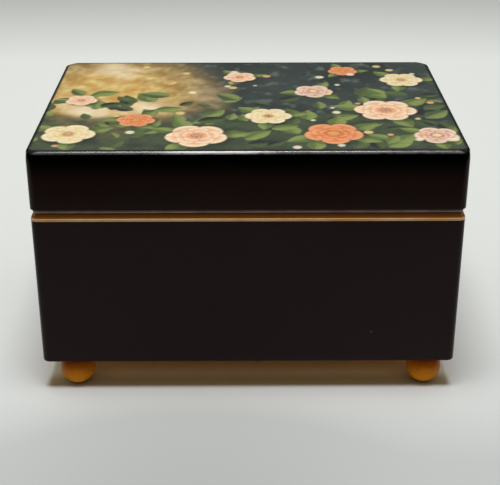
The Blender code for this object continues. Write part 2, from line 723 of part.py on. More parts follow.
def make_inside():
    """Partitions, linings and pads, and the glass over the movement on its ledges."""
    low = FLOOR_Z + GAP
    board("long_partition", (CELL_RIGHT, INNER_FRONT + GAP, low),
          (TRAY_LEFT, INNER_BACK - GAP, PARTITION_Z), LACQUER)
    board("cross_partition", (INNER_LEFT + GAP, CELL_FRONT - PARTITION, low),
          (CELL_RIGHT - GAP, CELL_FRONT, PARTITION_Z), LACQUER)
    make_tray_liner()
    inset = LINER + 2 * GAP
    pad("tray_pad", (TRAY_LEFT + inset, INNER_FRONT + inset), (INNER_RIGHT - inset, INNER_BACK - inset),
        FLOOR_Z + inset)
    pad("ring_cell_pad", (INNER_LEFT + GAP, INNER_FRONT + GAP),
        (CELL_RIGHT - GAP, CELL_FRONT - PARTITION - GAP), FLOOR_Z + GAP)
    ledge_top = COVER_Z - GAP
    for side, start in (("left", INNER_LEFT + GAP), ("right", CELL_RIGHT - GAP - LEDGE)):
        board(f"cover_ledge_{side}", (start, CELL_FRONT + GAP, ledge_top - LEDGE_THICKNESS),
              (start + LEDGE, INNER_BACK - GAP, ledge_top), LACQUER)
    cover = board("movement_cover", (INNER_LEFT + GAP, CELL_FRONT + GAP, COVER_Z),
                  (CELL_RIGHT - GAP, INNER_BACK - GAP, COVER_Z + COVER_THICKNESS), GLASS)
    cut(cover, cylinder("bush_hole", BUSH_RADIUS + GAP, COVER_Z - CUT_OVER,
                        COVER_Z + COVER_THICKNESS + CUT_OVER, STOP_X, STOP_Y))


def make_tray_liner():
    """The tray's velvet-covered card lining, open at the top."""
    start = Vector((TRAY_LEFT + GAP, INNER_FRONT + GAP, FLOOR_Z + GAP))
    end = Vector((INNER_RIGHT - GAP, INNER_BACK - GAP, PARTITION_Z - LINER_DROP))
    shape, _, centre = box_shape(start, end)
    top = [face for face in shape.faces if face.normal.z > 0.5]
    bmesh.ops.delete(shape, geom=top, context="FACES_ONLY")
    liner = add("tray_liner", mesh_from("tray_liner", shape), centre, VELVET)
    shell = liner.modifiers.new("card", "SOLIDIFY")
    shell.thickness = LINER
    shell.offset = -1
    shell.use_even_offset = True


def pad(name, low, high, bottom):
    """A velvet pad on a compartment's floor, with its upper edges rounded."""
    board(name, (*low, bottom), (*high, bottom + PAD_THICKNESS), VELVET,
          corners=ALL_CORNERS, corner_round=PAD_ROUND, face=1,
          face_round=PAD_ROUND)


def screw_places():
    """Where the movement is screwed down, as X and Y."""
    return (
        (BED_LEFT + SCREW_INSET, BED_FRONT + SCREW_INSET),
        (BED_RIGHT - SCREW_INSET, BED_FRONT + SCREW_INSET),
        (CYLINDER_X + CYLINDER_LENGTH / 2, BED_BACK - SCREW_INSET),
    )


def comb_screw_places():
    """Where the comb is screwed down, as X and Y."""
    middle = CYLINDER_X + CYLINDER_LENGTH / 2
    y = COMB_FRONT_Y + COMB_HEEL / 2
    return ((middle - CYLINDER_LENGTH / 4, y), (middle + CYLINDER_LENGTH / 4, y))


def make_bedplate():
    """The cast bedplate with the comb's rest and the cylinder's two bearing posts."""
    bed = board("bedplate", (BED_LEFT, BED_FRONT, BED_Z), (BED_RIGHT, BED_BACK, BED_TOP), CASTING,
                corners=ALL_CORNERS, corner_round=BED_CORNER_ROUND)
    sunk = BED_TOP - BED_THICKNESS / 2
    fuse(bed, board("comb_rest", (CYLINDER_X - COMB_SIDE, COMB_FRONT_Y, sunk),
                    (CYLINDER_X + CYLINDER_LENGTH + COMB_SIDE, COMB_ROOT_Y, COMB_Z - GAP)))
    for side, x in (("left", LEFT_POST_X), ("right", RIGHT_POST_X)):
        fuse(bed, board(f"post_{side}", (x, CYLINDER_Y - POST_DEPTH / 2, sunk),
                        (x + POST, CYLINDER_Y + POST_DEPTH / 2, CYLINDER_Z + POST_OVER_AXIS)))
    cut(bed, cross_cylinder("cylinder_bearings", CYLINDER_ARBOR + RUNNING_GAP, LEFT_POST_X - SIDE_GAP / 2,
                            RIGHT_POST_X + POST + SIDE_GAP / 2, CYLINDER_Y, CYLINDER_Z))
    cut(bed, cylinder("bed_arbor_hole", ARBOR_RADIUS + RUNNING_GAP, BED_Z - CUT_OVER, BED_TOP + CUT_OVER,
                      BARREL_X, CYLINDER_Y))
    cut(bed, cylinder("worm_pivot_hole", WORM_SHAFT + RUNNING_GAP, BED_TOP - BED_THICKNESS / 2,
                      BED_TOP + CUT_OVER, WORM_X, WORM_Y, sides=12))
    for number, (x, y) in enumerate(screw_places(), 1):
        cut(bed, cylinder(f"bed_screw_hole_{number}", SCREW_RADIUS + GAP, BED_Z - CUT_OVER,
                          BED_TOP + CUT_OVER, x, y, sides=16))
    for number, (x, y) in enumerate(comb_screw_places(), 1):
        cut(bed, cylinder(f"rest_screw_hole_{number}", COMB_SCREW_RADIUS + GAP,
                          COMB_Z - COMB_SCREW_LENGTH - GAP, COMB_Z + CUT_OVER, x, y, sides=12))


def screw(name, radius, head_radius, head_height, length, place, finish, upside_down=False):
    """A pan-head screw whose own origin is under its head."""
    profile = [(0, head_height), (head_radius * 0.7, head_height), (head_radius, head_height * 0.5),
               (head_radius, 0), (radius, 0), (radius, -length), (0, -length)]
    turn = (math.pi, 0, 0) if upside_down else (0, 0, 0)
    return turned(name, profile, place, finish, turned_to=turn, steps=16)


def make_screws():
    """Screws through the bottom board into the bedplate, and through the comb into its rest."""
    for number, (x, y) in enumerate(screw_places(), 1):
        screw(f"movement_screw_{number}", SCREW_RADIUS, SCREW_HEAD_RADIUS, SCREW_HEAD_HEIGHT,
              BED_TOP - BASE_Z, (x, y, BASE_Z - GAP), STEEL, upside_down=True)
    for number, (x, y) in enumerate(comb_screw_places(), 1):
        screw(f"comb_screw_{number}", COMB_SCREW_RADIUS, COMB_SCREW_HEAD, COMB_SCREW_HEAD_HEIGHT,
              COMB_SCREW_LENGTH, (x, y, COMB_Z + COMB_THICKNESS + GAP), STEEL)


def make_comb():
    """The steel comb: a heel with two screw holes, and one tooth for each note."""
    start = CYLINDER_X
    outline = [(start - COMB_SIDE, COMB_FRONT_Y), (start + CYLINDER_LENGTH + COMB_SIDE, COMB_FRONT_Y),
               (start + CYLINDER_LENGTH + COMB_SIDE, COMB_ROOT_Y)]
    for index in reversed(range(NOTES)):
        left = start + index * NOTE_PITCH + TOOTH_SLOT / 2
        right = left + NOTE_PITCH - TOOTH_SLOT
        outline += [(right, COMB_ROOT_Y), (right, COMB_TIP_Y), (left, COMB_TIP_Y), (left, COMB_ROOT_Y)]
    outline.append((start - COMB_SIDE, COMB_ROOT_Y))
    holes = []
    for x, y in comb_screw_places():
        holes.append([(x + px, y + py) for px, py in circle(COMB_SCREW_RADIUS + GAP, 12)])
    flat("comb", [outline, *holes], COMB_THICKNESS, (0, 0, COMB_Z + COMB_THICKNESS / 2), STEEL)


def make_barrel():
    """The spring barrel, its crown wheel and the mainspring inside."""
    half = BARREL_HEIGHT / 2
    inner = BARREL_RADIUS - BARREL_WALL
    bore = ARBOR_RADIUS + RUNNING_GAP
    floor = -half + BARREL_WALL
    profile = [(BARREL_RADIUS, half), (BARREL_RADIUS, -half), (bore, -half), (bore, floor),
               (inner, floor), (inner, half)]
    turned("spring_barrel", profile, (BARREL_X, CYLINDER_Y, BARREL_Z + half), BRASS, BARREL_AXIS,
           steps=32, closed=True)
    make_crown_wheel()
    make_mainspring(inner)


def make_crown_wheel():
    """A disc whose upright teeth stand on a ring near its edge."""
    segments = 2 * CROWN_TEETH
    radii = (ARBOR_RADIUS + RUNNING_GAP, CROWN_INNER, CROWN_OUTER)
    shape = bmesh.new()
    half_step = TURN / segments / 2
    start = [shape.verts.new((radius * math.cos(half_step), radius * math.sin(half_step), 0))
             for radius in radii]
    edges = [shape.edges.new(pair) for pair in zip(start[:-1], start[1:])]
    bmesh.ops.spin(shape, geom=start + edges, cent=(0, 0, 0), axis=(0, 0, 1), dvec=(0, 0, 0),
                   angle=TURN, steps=segments, use_merge=True, use_duplicate=False)
    bmesh.ops.remove_doubles(shape, verts=shape.verts, dist=1e-7)
    pushed = bmesh.ops.extrude_face_region(shape, geom=shape.faces[:])
    raised = [item for item in pushed["geom"] if isinstance(item, bmesh.types.BMVert)]
    bmesh.ops.translate(shape, vec=(0, 0, CROWN_DISC), verts=raised)
    bmesh.ops.recalc_face_normals(shape, faces=shape.faces)
    step = TURN / CROWN_TEETH
    tooth_bases = []
    for face in shape.faces:
        middle = face.calc_center_median()
        if face.normal.z < 0.5 or middle.xy.length < CROWN_INNER:
            continue
        place = math.atan2(middle.y, middle.x) / step
        if abs(place - math.floor(place) - 0.5) < 0.25:
            tooth_bases.append(face)
    tops = bmesh.ops.extrude_discrete_faces(shape, faces=tooth_bases)["faces"]
    for top in tops:
        middle = top.calc_center_median()
        along = Vector((-middle.y, middle.x, 0)).normalized()
        for vert in top.verts:
            sideways = (vert.co - middle).dot(along)
            vert.co -= along * sideways * (1 - CROWN_TIP_SHARE)
            vert.co.z += CROWN_TOOTH
    add("crown_wheel", mesh_from("crown_wheel", shape), (BARREL_X, CYLINDER_Y, CROWN_Z), BRASS,
        carrier=BARREL_AXIS)


def make_mainspring(barrel_inside):
    """A coiled steel strip between the arbor and the barrel's wall."""
    steps = 14 * SPRING_TURNS
    outer = barrel_inside - GAP - SPRING_STRIP / 2
    inner = SPRING_INNER + SPRING_STRIP / 2
    near, far = [], []
    for index in range(steps + 1):
        angle = SPRING_TURNS * TURN * index / steps
        middle = inner + (outer - inner) * index / steps
        for side, radius in ((far, middle + SPRING_STRIP / 2), (near, middle - SPRING_STRIP / 2)):
            side.append((radius * math.cos(angle), radius * math.sin(angle)))
    height = BARREL_HEIGHT - BARREL_WALL - 2 * GAP
    middle = BARREL_Z + BARREL_WALL + GAP + height / 2
    flat("mainspring", [far + near[::-1]], height, (BARREL_X, CYLINDER_Y, middle), STEEL, BARREL_AXIS)


def make_winding():
    """The winding arbor and the butterfly key under the box."""
    arbor_bottom = KEY_Z - KEY_BORE_DEPTH + GAP
    cylinder("winding_arbor", ARBOR_RADIUS, arbor_bottom, CROWN_ROOT_Z - GAP, BARREL_X, CYLINDER_Y,
             STEEL, WINDING_AXIS)
    key = cylinder("winding_key", KEY_SHANK_RADIUS, KEY_Z - KEY_SHANK_LENGTH, KEY_Z, BARREL_X,
                   CYLINDER_Y, STEEL, WINDING_AXIS)
    waist = math.radians(140.0)
    arcs = 12
    outline = []
    for sign in (1, -1):
        for index in range(arcs + 1):
            angle = -waist + 2 * waist * index / arcs
            x = sign * (KEY_EAR_SPREAD + KEY_EAR_RADIUS * math.cos(angle))
            outline.append((x, sign * KEY_EAR_RADIUS * math.sin(angle)))
    holes = [[(sign * KEY_EAR_SPREAD + x, y) for x, y in circle(KEY_EAR_RADIUS * 0.35, 10)]
             for sign in (1, -1)]
    plate = as_mesh(flat("key_plate", [outline, *holes], KEY_PLATE,
                         (BARREL_X, CYLINDER_Y, KEY_Z - KEY_EAR_DROP), turned_to=FACING_FRONT))
    fuse(key, plate)
    cut(key, cylinder("key_bore", ARBOR_RADIUS + RUNNING_GAP, KEY_Z - KEY_BORE_DEPTH, KEY_Z + CUT_OVER,
                      BARREL_X, CYLINDER_Y))


def make_cylinder():
    """The pinned cylinder, its arbor, the pinion on the crown wheel and the wheel at its far end."""
    half = CYLINDER_LENGTH / 2
    bore = CYLINDER_ARBOR + RUNNING_GAP
    middle = CYLINDER_X + half
    profile = [(CYLINDER_RADIUS, half), (CYLINDER_RADIUS, -half), (bore, -half), (bore, half)]
    drum = turned("pinned_cylinder", profile, (middle, CYLINDER_Y, CYLINDER_Z), BRASS, CYLINDER_AXIS,
                  ALONG_X, 32, True)
    shape = bmesh.new()
    for note in range(NOTES):
        for number in range(PINS_A_NOTE):
            angle = TURN * (number + ((note * 7 + number * number * 3) % 11) / 16) / PINS_A_NOTE
            pin = bmesh.ops.create_cube(shape, size=1.0)["verts"]
            bmesh.ops.scale(shape, vec=(2 * PIN_HEIGHT, PIN_WIDTH, PIN_WIDTH), verts=pin)
            along = (note + 0.5) * NOTE_PITCH - half
            bmesh.ops.translate(shape, vec=(CYLINDER_RADIUS, 0, along), verts=pin)
            bmesh.ops.rotate(shape, cent=(0, 0, 0), matrix=Matrix.Rotation(angle, 3, "Z"), verts=pin)
    fuse(drum, add("cylinder_pins", mesh_from("cylinder_pins", shape),
                   (middle, CYLINDER_Y, CYLINDER_Z), turned_to=ALONG_X))
    start = PINION_X - PINION_WIDTH / 2 - SIDE_GAP
    arbor = cross_cylinder("cylinder_arbor", CYLINDER_ARBOR, start, RIGHT_POST_X + POST, CYLINDER_Y,
                           CYLINDER_Z, STEEL, CYLINDER_AXIS)
    down = -math.pi / 2
    fuse(arbor, as_mesh(flat(
        "cylinder_pinion",
        [gear_outline(PINION_TEETH, PINION_PITCH, TOOTH_REACH, TOOTH_ROOT, down,
                      PINION_TOOTH_SHARE)],
        PINION_WIDTH, (PINION_X, CYLINDER_Y, CYLINDER_Z), turned_to=ALONG_X,
    )))
    flat("cylinder_wheel",
         [gear_outline(WHEEL_TEETH, WHEEL_PITCH, TOOTH_REACH, TOOTH_ROOT, IDLER_ANGLE,
                       WHEEL_TOOTH_SHARE),
          circle(bore, 20)],
         WHEEL_WIDTH, (WHEEL_X + WHEEL_WIDTH / 2, CYLINDER_Y, CYLINDER_Z), BRASS, CYLINDER_AXIS, ALONG_X)


def make_governor():
    """The idler with its worm wheel, the worm with its fan, and their frame."""
    half_tooth = TURN / IDLER_TEETH / 2
    flat("worm_wheel",
         [gear_outline(WORM_WHEEL_TEETH, WORM_WHEEL_PITCH, WORM_WHEEL_REACH, WORM_WHEEL_ROOT, math.pi,
                       WORM_WHEEL_SHARE),
          circle(IDLER_ARBOR + RUNNING_GAP, 12)],
         WORM_WHEEL_WIDTH, (WORM_X, IDLER_Y, IDLER_Z), NYLON, IDLER_AXIS, ALONG_X)
    arbor = cross_cylinder("idler_arbor", IDLER_ARBOR, WHEEL_X, FRAME_END_X, IDLER_Y, IDLER_Z, STEEL,
                           IDLER_AXIS, sides=12)
    fuse(arbor, as_mesh(flat(
        "idler_pinion",
        [gear_outline(IDLER_TEETH, IDLER_PITCH, TOOTH_REACH, TOOTH_ROOT,
                      IDLER_ANGLE + math.pi + half_tooth, PINION_TOOTH_SHARE)],
        WHEEL_WIDTH, (WHEEL_X + WHEEL_WIDTH / 2, IDLER_Y, IDLER_Z), turned_to=ALONG_X,
    )))
    make_worm()
    make_frame()


def make_worm():
    """The two-start worm on its shaft, and the fan on top."""
    lead = WORM_STARTS * TURN * WORM_WHEEL_PITCH / WORM_WHEEL_TEETH
    reach = WORM_TURNS * lead / 2
    pivot = BED_TOP - BED_THICKNESS / 4
    shaft_top = FAN_Z + FAN_HEIGHT - GAP
    core = reach + WORM_THREAD
    profile = [(0, shaft_top), (WORM_SHAFT, shaft_top), (WORM_SHAFT, IDLER_Z + core),
               (WORM_CORE, IDLER_Z + core), (WORM_CORE, IDLER_Z - core), (WORM_SHAFT, IDLER_Z - core),
               (WORM_SHAFT, pivot), (0, pivot)]
    profile = [(radius, height - IDLER_Z) for radius, height in profile]
    worm = turned("worm_shaft", profile, (WORM_X, WORM_Y, IDLER_Z), STEEL, GOVERNOR_AXIS, steps=16)
    points_a_turn = 12
    count = WORM_TURNS * points_a_turn
    path_radius = WORM_CORE + WORM_THREAD * 0.35
    for start in range(WORM_STARTS):
        points = []
        for index in range(count + 1):
            rise = reach * (2 * index / count - 1)
            quarter = lead / WORM_STARTS / 2
            angle = math.pi / 2 + TURN * ((rise - quarter) / lead + start / WORM_STARTS)
            points.append((WORM_X + path_radius * math.cos(angle),
                           WORM_Y + path_radius * math.sin(angle), IDLER_Z + rise))
        fuse(worm, as_mesh(wire(f"worm_thread_{start + 1}", points, WORM_THREAD, fineness=1)))
    hub_middle = FAN_Z + FAN_HEIGHT / 2
    half = FAN_HEIGHT / 2
    bore = WORM_SHAFT + RUNNING_GAP
    fan = turned("governor_fan", [(FAN_HUB, half), (FAN_HUB, -half), (bore, -half), (bore, half)],
                 (WORM_X, WORM_Y, hub_middle), NYLON, GOVERNOR_AXIS, steps=16, closed=True)
    inner = (FAN_HUB + bore) / 2
    for side, sign in (("left", -1), ("right", 1)):
        near, far = sorted((sign * inner, sign * FAN_SPAN / 2))
        fuse(fan, board(f"fan_blade_{side}", (WORM_X + near, WORM_Y - FAN_BLADE / 2, FAN_Z + GAP),
                        (WORM_X + far, WORM_Y + FAN_BLADE / 2, FAN_Z + FAN_HEIGHT - GAP)))


def make_frame():
    """The governor's frame, open to the back, and the cap with the worm's upper bearing."""
    front = WORM_Y - FRAME_FRONT
    back = IDLER_Y + FRAME_BEHIND_IDLER
    outer_left, inner_left = FRAME_X, FRAME_X + FRAME_CHEEK
    inner_right, outer_right = FRAME_END_X - FRAME_CHEEK, FRAME_END_X
    outline = [(outer_left, front), (outer_right, front), (outer_right, back), (inner_right, back),
               (inner_right, front + FRAME_CHEEK), (inner_left, front + FRAME_CHEEK),
               (inner_left, back), (outer_left, back)]
    bottom = BED_TOP + GAP
    frame = as_mesh(flat("governor_frame", [outline], FRAME_TOP - bottom,
                         (0, 0, (bottom + FRAME_TOP) / 2), CASTING))
    cut(frame, cross_cylinder("idler_bearings", IDLER_ARBOR + RUNNING_GAP, outer_left - SIDE_GAP,
                              outer_right + CUT_OVER, IDLER_Y, IDLER_Z, sides=12))
    cap = board("governor_cap", (outer_left, front, CAP_Z), (outer_right, WORM_Y + FRAME_FRONT / 2,
                                                            CAP_Z + CAP_THICKNESS), CASTING)
    cut(cap, cylinder("cap_bearing", WORM_SHAFT + RUNNING_GAP, CAP_Z - CUT_OVER,
                      CAP_Z + CAP_THICKNESS + CUT_OVER, WORM_X, WORM_Y, sides=16))


def make_stop():
    """The bent stop wire, held down by the closed lid, with its bush, collar and return spring."""
    top = Vector((STOP_X, STOP_Y, LINING_Z - GAP))
    corner = Vector((STOP_X, STOP_Y, ARM_Z))
    tip = Vector((WORM_X, WORM_Y, ARM_Z))
    ahead = (tip - corner).normalized()
    points = [top]
    arcs = 5
    for index in range(arcs + 1):
        angle = math.pi / 2 * index / arcs
        points.append(corner + ahead * STOP_BEND * (1 - math.cos(angle))
                      + Vector((0, 0, STOP_BEND * (1 - math.sin(angle)))))
    points.append(tip)
    wire("stop_wire", points, STOP_WIRE_RADIUS, STEEL, STOP_AXIS, (STOP_X, STOP_Y, COLLAR_Z))
    bore = STOP_WIRE_RADIUS + RUNNING_GAP
    ring("stop_collar", bore, COLLAR_RADIUS, COLLAR_Z, COLLAR_Z + COLLAR_HEIGHT, STOP_X, STOP_Y, BRASS,
         STOP_AXIS)
    middle = COVER_Z + COVER_THICKNESS + GAP
    flange_top = BUSH_TOP - middle
    profile = [(BUSH_FLANGE, flange_top), (BUSH_FLANGE, 0), (BUSH_RADIUS, 0),
               (BUSH_RADIUS, -COVER_THICKNESS - 2 * GAP), (bore, -COVER_THICKNESS - 2 * GAP),
               (bore, flange_top)]
    turned("stop_bush", profile, (STOP_X, STOP_Y, middle), BRASS, steps=24, closed=True)
    coil = []
    count = RETURN_SPRING_TURNS * RETURN_SPRING_POINTS
    low = BUSH_TOP + GAP + RETURN_SPRING_WIRE
    rise = RETURN_SPRING_LENGTH - 2 * RETURN_SPRING_WIRE
    for index in range(count + 1):
        angle = TURN * index / RETURN_SPRING_POINTS
        coil.append((STOP_X + RETURN_SPRING_RADIUS * math.cos(angle),
                     STOP_Y + RETURN_SPRING_RADIUS * math.sin(angle), low + rise * index / count))
    wire("return_spring", coil, RETURN_SPRING_WIRE, STEEL, fineness=1)
    pitch = rise / RETURN_SPRING_TURNS
    print("least gap between the return spring's turns, mm:", (pitch - 2 * RETURN_SPRING_WIRE) / MM)


make_base()
make_feet()
make_walls()
make_rim()
make_hinges()
make_lid()
make_inside()
make_bedplate()
make_screws()
make_comb()
make_barrel()
make_winding()
make_cylinder()
make_governor()
make_stop()
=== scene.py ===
"""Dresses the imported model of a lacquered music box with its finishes, and lights it for a picture."""

import math
import random

import bmesh
import bpy
import numpy as np
from mathutils import Euler, Matrix, Vector


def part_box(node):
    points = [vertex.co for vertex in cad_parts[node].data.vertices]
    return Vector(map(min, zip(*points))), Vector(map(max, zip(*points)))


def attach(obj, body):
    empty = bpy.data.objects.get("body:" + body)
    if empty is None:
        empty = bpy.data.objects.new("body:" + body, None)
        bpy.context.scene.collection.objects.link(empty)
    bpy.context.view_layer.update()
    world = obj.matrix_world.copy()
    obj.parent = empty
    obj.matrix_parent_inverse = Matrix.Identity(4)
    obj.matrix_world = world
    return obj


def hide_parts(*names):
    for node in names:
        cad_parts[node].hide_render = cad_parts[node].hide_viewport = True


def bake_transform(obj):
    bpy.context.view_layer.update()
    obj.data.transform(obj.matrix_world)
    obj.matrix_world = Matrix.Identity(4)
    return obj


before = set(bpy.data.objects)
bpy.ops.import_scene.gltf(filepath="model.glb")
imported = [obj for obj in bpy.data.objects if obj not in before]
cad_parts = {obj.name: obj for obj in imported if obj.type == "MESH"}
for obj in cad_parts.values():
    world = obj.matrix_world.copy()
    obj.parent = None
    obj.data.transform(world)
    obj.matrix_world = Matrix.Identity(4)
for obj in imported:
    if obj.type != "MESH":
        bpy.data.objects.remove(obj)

bl_info = {
    "name": "Lacquered music box",
    "version": (1, 0, 0),
    "blender": (4, 5, 0),
    "location": "3D View > Sidebar > Music box",
    "description": "Models and finishes the pieces of a lacquered music box over its packed frame",
    "category": "Object",
}

MM = 0.001
TURN = 2 * math.pi
QUARTER = math.pi / 2
# Points nearer than the first are one, and heights nearer than the second are level
TOUCH, NEAR = 1e-7, 1e-6
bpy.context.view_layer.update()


def linear(code):
    """An sRGB hex colour as linear red, green, blue and alpha."""
    channels = []
    for start in (1, 3, 5):
        value = int(code[start:start + 2], 16) / 255
        channels.append(value / 12.92 if value <= 0.04045 else ((value + 0.055) / 1.055) ** 2.4)
    return (*channels, 1.0)


def length(name, description, default_mm):
    """A length setting, in metres."""
    return bpy.props.FloatProperty(name=name, description=description, default=default_mm * MM,
                                   min=0.0, unit="LENGTH", precision=5)


def colour(name, description, code):
    """A colour setting."""
    return bpy.props.FloatVectorProperty(name=name, description=description, default=linear(code),
                                         size=4, min=0.0, max=1.0, subtype="COLOR")


class MusicBoxSizes(bpy.types.PropertyGroup):
    """Sizes of the finishing work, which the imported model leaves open."""

    corner_round: length("Upright corners", "Radius of the box's upright corners", 2.6)
    worn_corner: length("Worn corner", "Radius that the lid's upper corners are rubbed to", 4.8)
    worn_height: length("Worn height", "Height over which they are rubbed", 4.0)
    worn_off: length("Worn off", "Wood rubbed off the very corner", 0.7)
    lid_edge_round: length("Lid's top edge", "Radius of the lid's upper edge", 1.15)
    base_edge_round: length("Base edge", "Radius of the body's lower edge", 0.8)
    lid_lip_round: length("Lid's lower edge", "Radius of the lid's lower outer edge", 0.45)
    arris: length("Arris", "Softening of the other wooden edges", 0.3)
    rim_lip: length("Gilt lip", "Height of the lip under the set-back gilt band", 1.0)
    rim_lip_round: length("Gilt lip round", "Radius of the gilt lip's outer edge", 0.3)
    rim_recess: length("Gilt band recess", "Depth of the gilt band behind the wall's face", 1.15)
    rim_cove: length("Gilt cove", "Hollow curve between the gilt band and its lip", 0.7)
    rim_bead: length("Gilt bead", "Height of the small bead along the gilt band's top", 1.1)
    print_cell: length("Print detail", "Spacing of the points that carry the printed design", 0.45)
    print_paper: length("Print's paper", "Thickness of the printed sheet", 0.08)
    print_side: length("Print's side border", "Lacquer left at the lid's sides", 0.55)
    print_front: length("Print's front border", "Lacquer left at the lid's front", 0.85)
    print_back: length("Print's rear border", "Lacquer left at the lid's back", 0.75)
    pad_crown: length("Pad crown", "Rise of the velvet pads at their middle", 0.7)
    metal_arris: length("Metal edges", "Softening of the metal pieces' edges", 0.12)


class MusicBoxColours(bpy.types.PropertyGroup):
    """Colours of the finishes."""

    lacquer: colour("Lacquer", "Deep brown-black of the lacquer", "#1d1211")
    lacquer_glow: colour("Lacquer glow", "Warmer brown where the lacquer lies thin", "#231614")
    # Painted reflection: the lid's upper front is painted towards this black, and the floor well before the
    # box takes it in reflections
    reflection_black: colour("Deep lacquer", "Black of the lid's upper edge, and of what it mirrors", "#020101")
    dust: colour("Dust", "Specks of dust on the lacquer", "#8d8784")
    # Painted highlight: this pale colour is laid along the lid's front top edge as its highlight
    rubbed: colour("Rubbed edge", "Pale ground under the rubbed lacquer", "#e9e6e2")
    gilt: colour("Gilt", "Amber gold paint", "#562602")
    gilt_deep: colour("Deep gilt", "Gold paint where it lies thick", "#3c1801")
    # Painted light: the band is painted lighter towards its foot, as the lid above shades its top
    gilt_foot_light: colour("Pale gilt", "Gold paint worn thinner at the foot of the band", "#b8761c")
    # Painted light and shade: the lip is painted in this paler gold as lit, the band above it darker as the
    # lid shades it
    gilt_lit: colour("Rubbed gilt", "Gold paint on the lip, paled by handling", "#d6ae80")
    # Painted highlight along the band's top bead
    gilt_highlight: colour("Worn gilt", "Gold paint worn thin on the band's top bead", "#9d8074")
    foot: colour("Feet", "Amber lacquer of the turned feet", "#cf7f06")
    # Painted shade: the feet's tops are painted towards this colour under the box
    foot_seat: colour("Feet's seat", "Stain pooled where the feet meet the box", "#80360a")
    foot_grain: colour("Feet grain", "Grain under the feet's lacquer", "#8f4a04")
    underside: colour("Underside", "Amber stained wood under the box", "#e0981e")
    velvet: colour("Velvet", "Wine velvet of the linings", "#5a0f1c")
    brass: colour("Brass", "Turned brass", "#d8ae5e")
    steel: colour("Steel", "Polished steel", "#b9bbbd")
    casting: colour("Casting", "Nickel plated zinc casting", "#b4b2aa")
    nylon: colour("Nylon", "Moulded white nylon", "#e2dccb")
    backdrop: colour("Backdrop", "The plain wall behind the floor", "#f6f7f5")
    # Painted light and shade: the floor's tone is graded from near the camera to well behind the box, with a
    # painted darker pool before it
    floor_pool: colour("Floor before the box", "The shade on the floor in front of the box", "#afb1af")
    floor_front: colour("Front floor", "The floor nearest the camera", "#bbbdba")
    floor_near: colour("Near floor", "The floor in front of the box", "#d3d5d2")
    floor: colour("Floor", "Pale floor beside the box", "#d8dad5")
    floor_back: colour("Back floor", "The floor behind the box", "#e3e5e0")
    floor_far: colour("Far floor", "The floor well behind the box", "#c3c5c0")
    # Painted shade and bounce light on the floor under the box, darker at its front edge and lighter further
    # under it
    warm_front: colour("Warm shade, front", "Shade on the floor under the box's front edge", "#a29573")
    warm_middle: colour("Warm shade, middle", "Shade on the floor behind that edge", "#b9b086")
    warm_back: colour("Warm shade, back", "Floor further under the box", "#f0f6e4")


def sizes():
    """The size settings."""
    return bpy.context.scene.music_box_sizes


def colours():
    """The colour settings."""
    return bpy.context.scene.music_box_colours


def span(*nodes):
    """Lowest and highest corner of some nodes together."""
    lows, highs = zip(*(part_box(node) for node in nodes))
    return Vector(map(min, zip(*lows))), Vector(map(max, zip(*highs)))


def middle_of(low, high):
    """The middle between two corners."""
    return (low + high) / 2


def round_of(name):
    """A round node's middle and radius, and its lowest and highest corner."""
    low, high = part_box(name)
    return middle_of(low, high), (high.x - low.x) / 2, low, high


# Shapes


def cuboid(low, high):
    """A box between two corners."""
    shape = bmesh.new()
    bmesh.ops.create_cube(shape, size=1.0)
    bmesh.ops.scale(shape, vec=Vector(high) - Vector(low), verts=shape.verts)
    bmesh.ops.translate(shape, vec=(Vector(high) + Vector(low)) / 2, verts=shape.verts)
    return shape


def outward(shape):
    """Turn a shape's faces outwards."""
    bmesh.ops.recalc_face_normals(shape, faces=shape.faces)


def round_off(shape, edges, radius, segments=4):
    """Round some edges of a shape."""
    return bmesh.ops.bevel(
        shape, geom=list(edges), offset=radius, offset_type="OFFSET", segments=segments, profile=0.5,
        affect="EDGES", clamp_overlap=True, material=-1,
    )


def level_edges(shape, height):
    """The edges that lie flat at a height."""
    return [edge for edge in shape.edges if all(abs(vert.co.z - height) < TOUCH for vert in edge.verts)]


def upright_edges(shape, low, high):
    """The upright edges at the four corners of a box."""
    corners = [Vector((x, y)) for x in (low.x, high.x) for y in (low.y, high.y)]
    return [edge for edge in shape.edges
            if any((vert.co.xy - corner).length < NEAR for corner in corners for vert in edge.verts[:1])
            and (edge.verts[0].co.xy - edge.verts[1].co.xy).length < TOUCH]


def arc(centre, radius, start, end, steps):
    """Points about a centre between two angles, on a radius or on one across and one up."""
    wide, tall = radius if isinstance(radius, tuple) else (radius, radius)
    return [(centre[0] + wide * math.cos(angle), centre[1] + tall * math.sin(angle))
            for angle in (start + (end - start) * index / steps for index in range(steps + 1))]


def rod(radius, start, end, soft=0.0):
    """The profile of a rod between two heights, with its ends' edges broken a little."""
    if not soft:
        return [(0, start), (radius, start), (radius, end), (0, end)]
    return [(0, start), (radius - soft, start), (radius, start + soft), (radius, end - soft),
            (radius - soft, end), (0, end)]


def moved(shape, turn=0.0, axis="Z", to=(0, 0, 0)):
    """Turn a shape about an axis through the origin, and carry it to a spot."""
    bmesh.ops.rotate(shape, cent=(0, 0, 0), matrix=Matrix.Rotation(turn, 3, axis), verts=shape.verts)
    bmesh.ops.translate(shape, vec=to, verts=shape.verts)
    return shape


def new_verts(pushed):
    """The new points of an extrusion."""
    return [item for item in pushed["geom"] if isinstance(item, bmesh.types.BMVert)]


def hollowed(shape, way, wall, depth):
    """Sink a shape's upper face, or its lower where the way is down, between walls."""
    faces = [face for face in shape.faces if face.normal.z * way > 0.5]
    bmesh.ops.inset_region(shape, faces=faces, thickness=wall, use_even_offset=True)
    pushed = bmesh.ops.extrude_face_region(shape, geom=faces)
    bmesh.ops.translate(shape, vec=(0, 0, -way * depth), verts=new_verts(pushed))
    bmesh.ops.delete(shape, geom=faces, context="FACES")


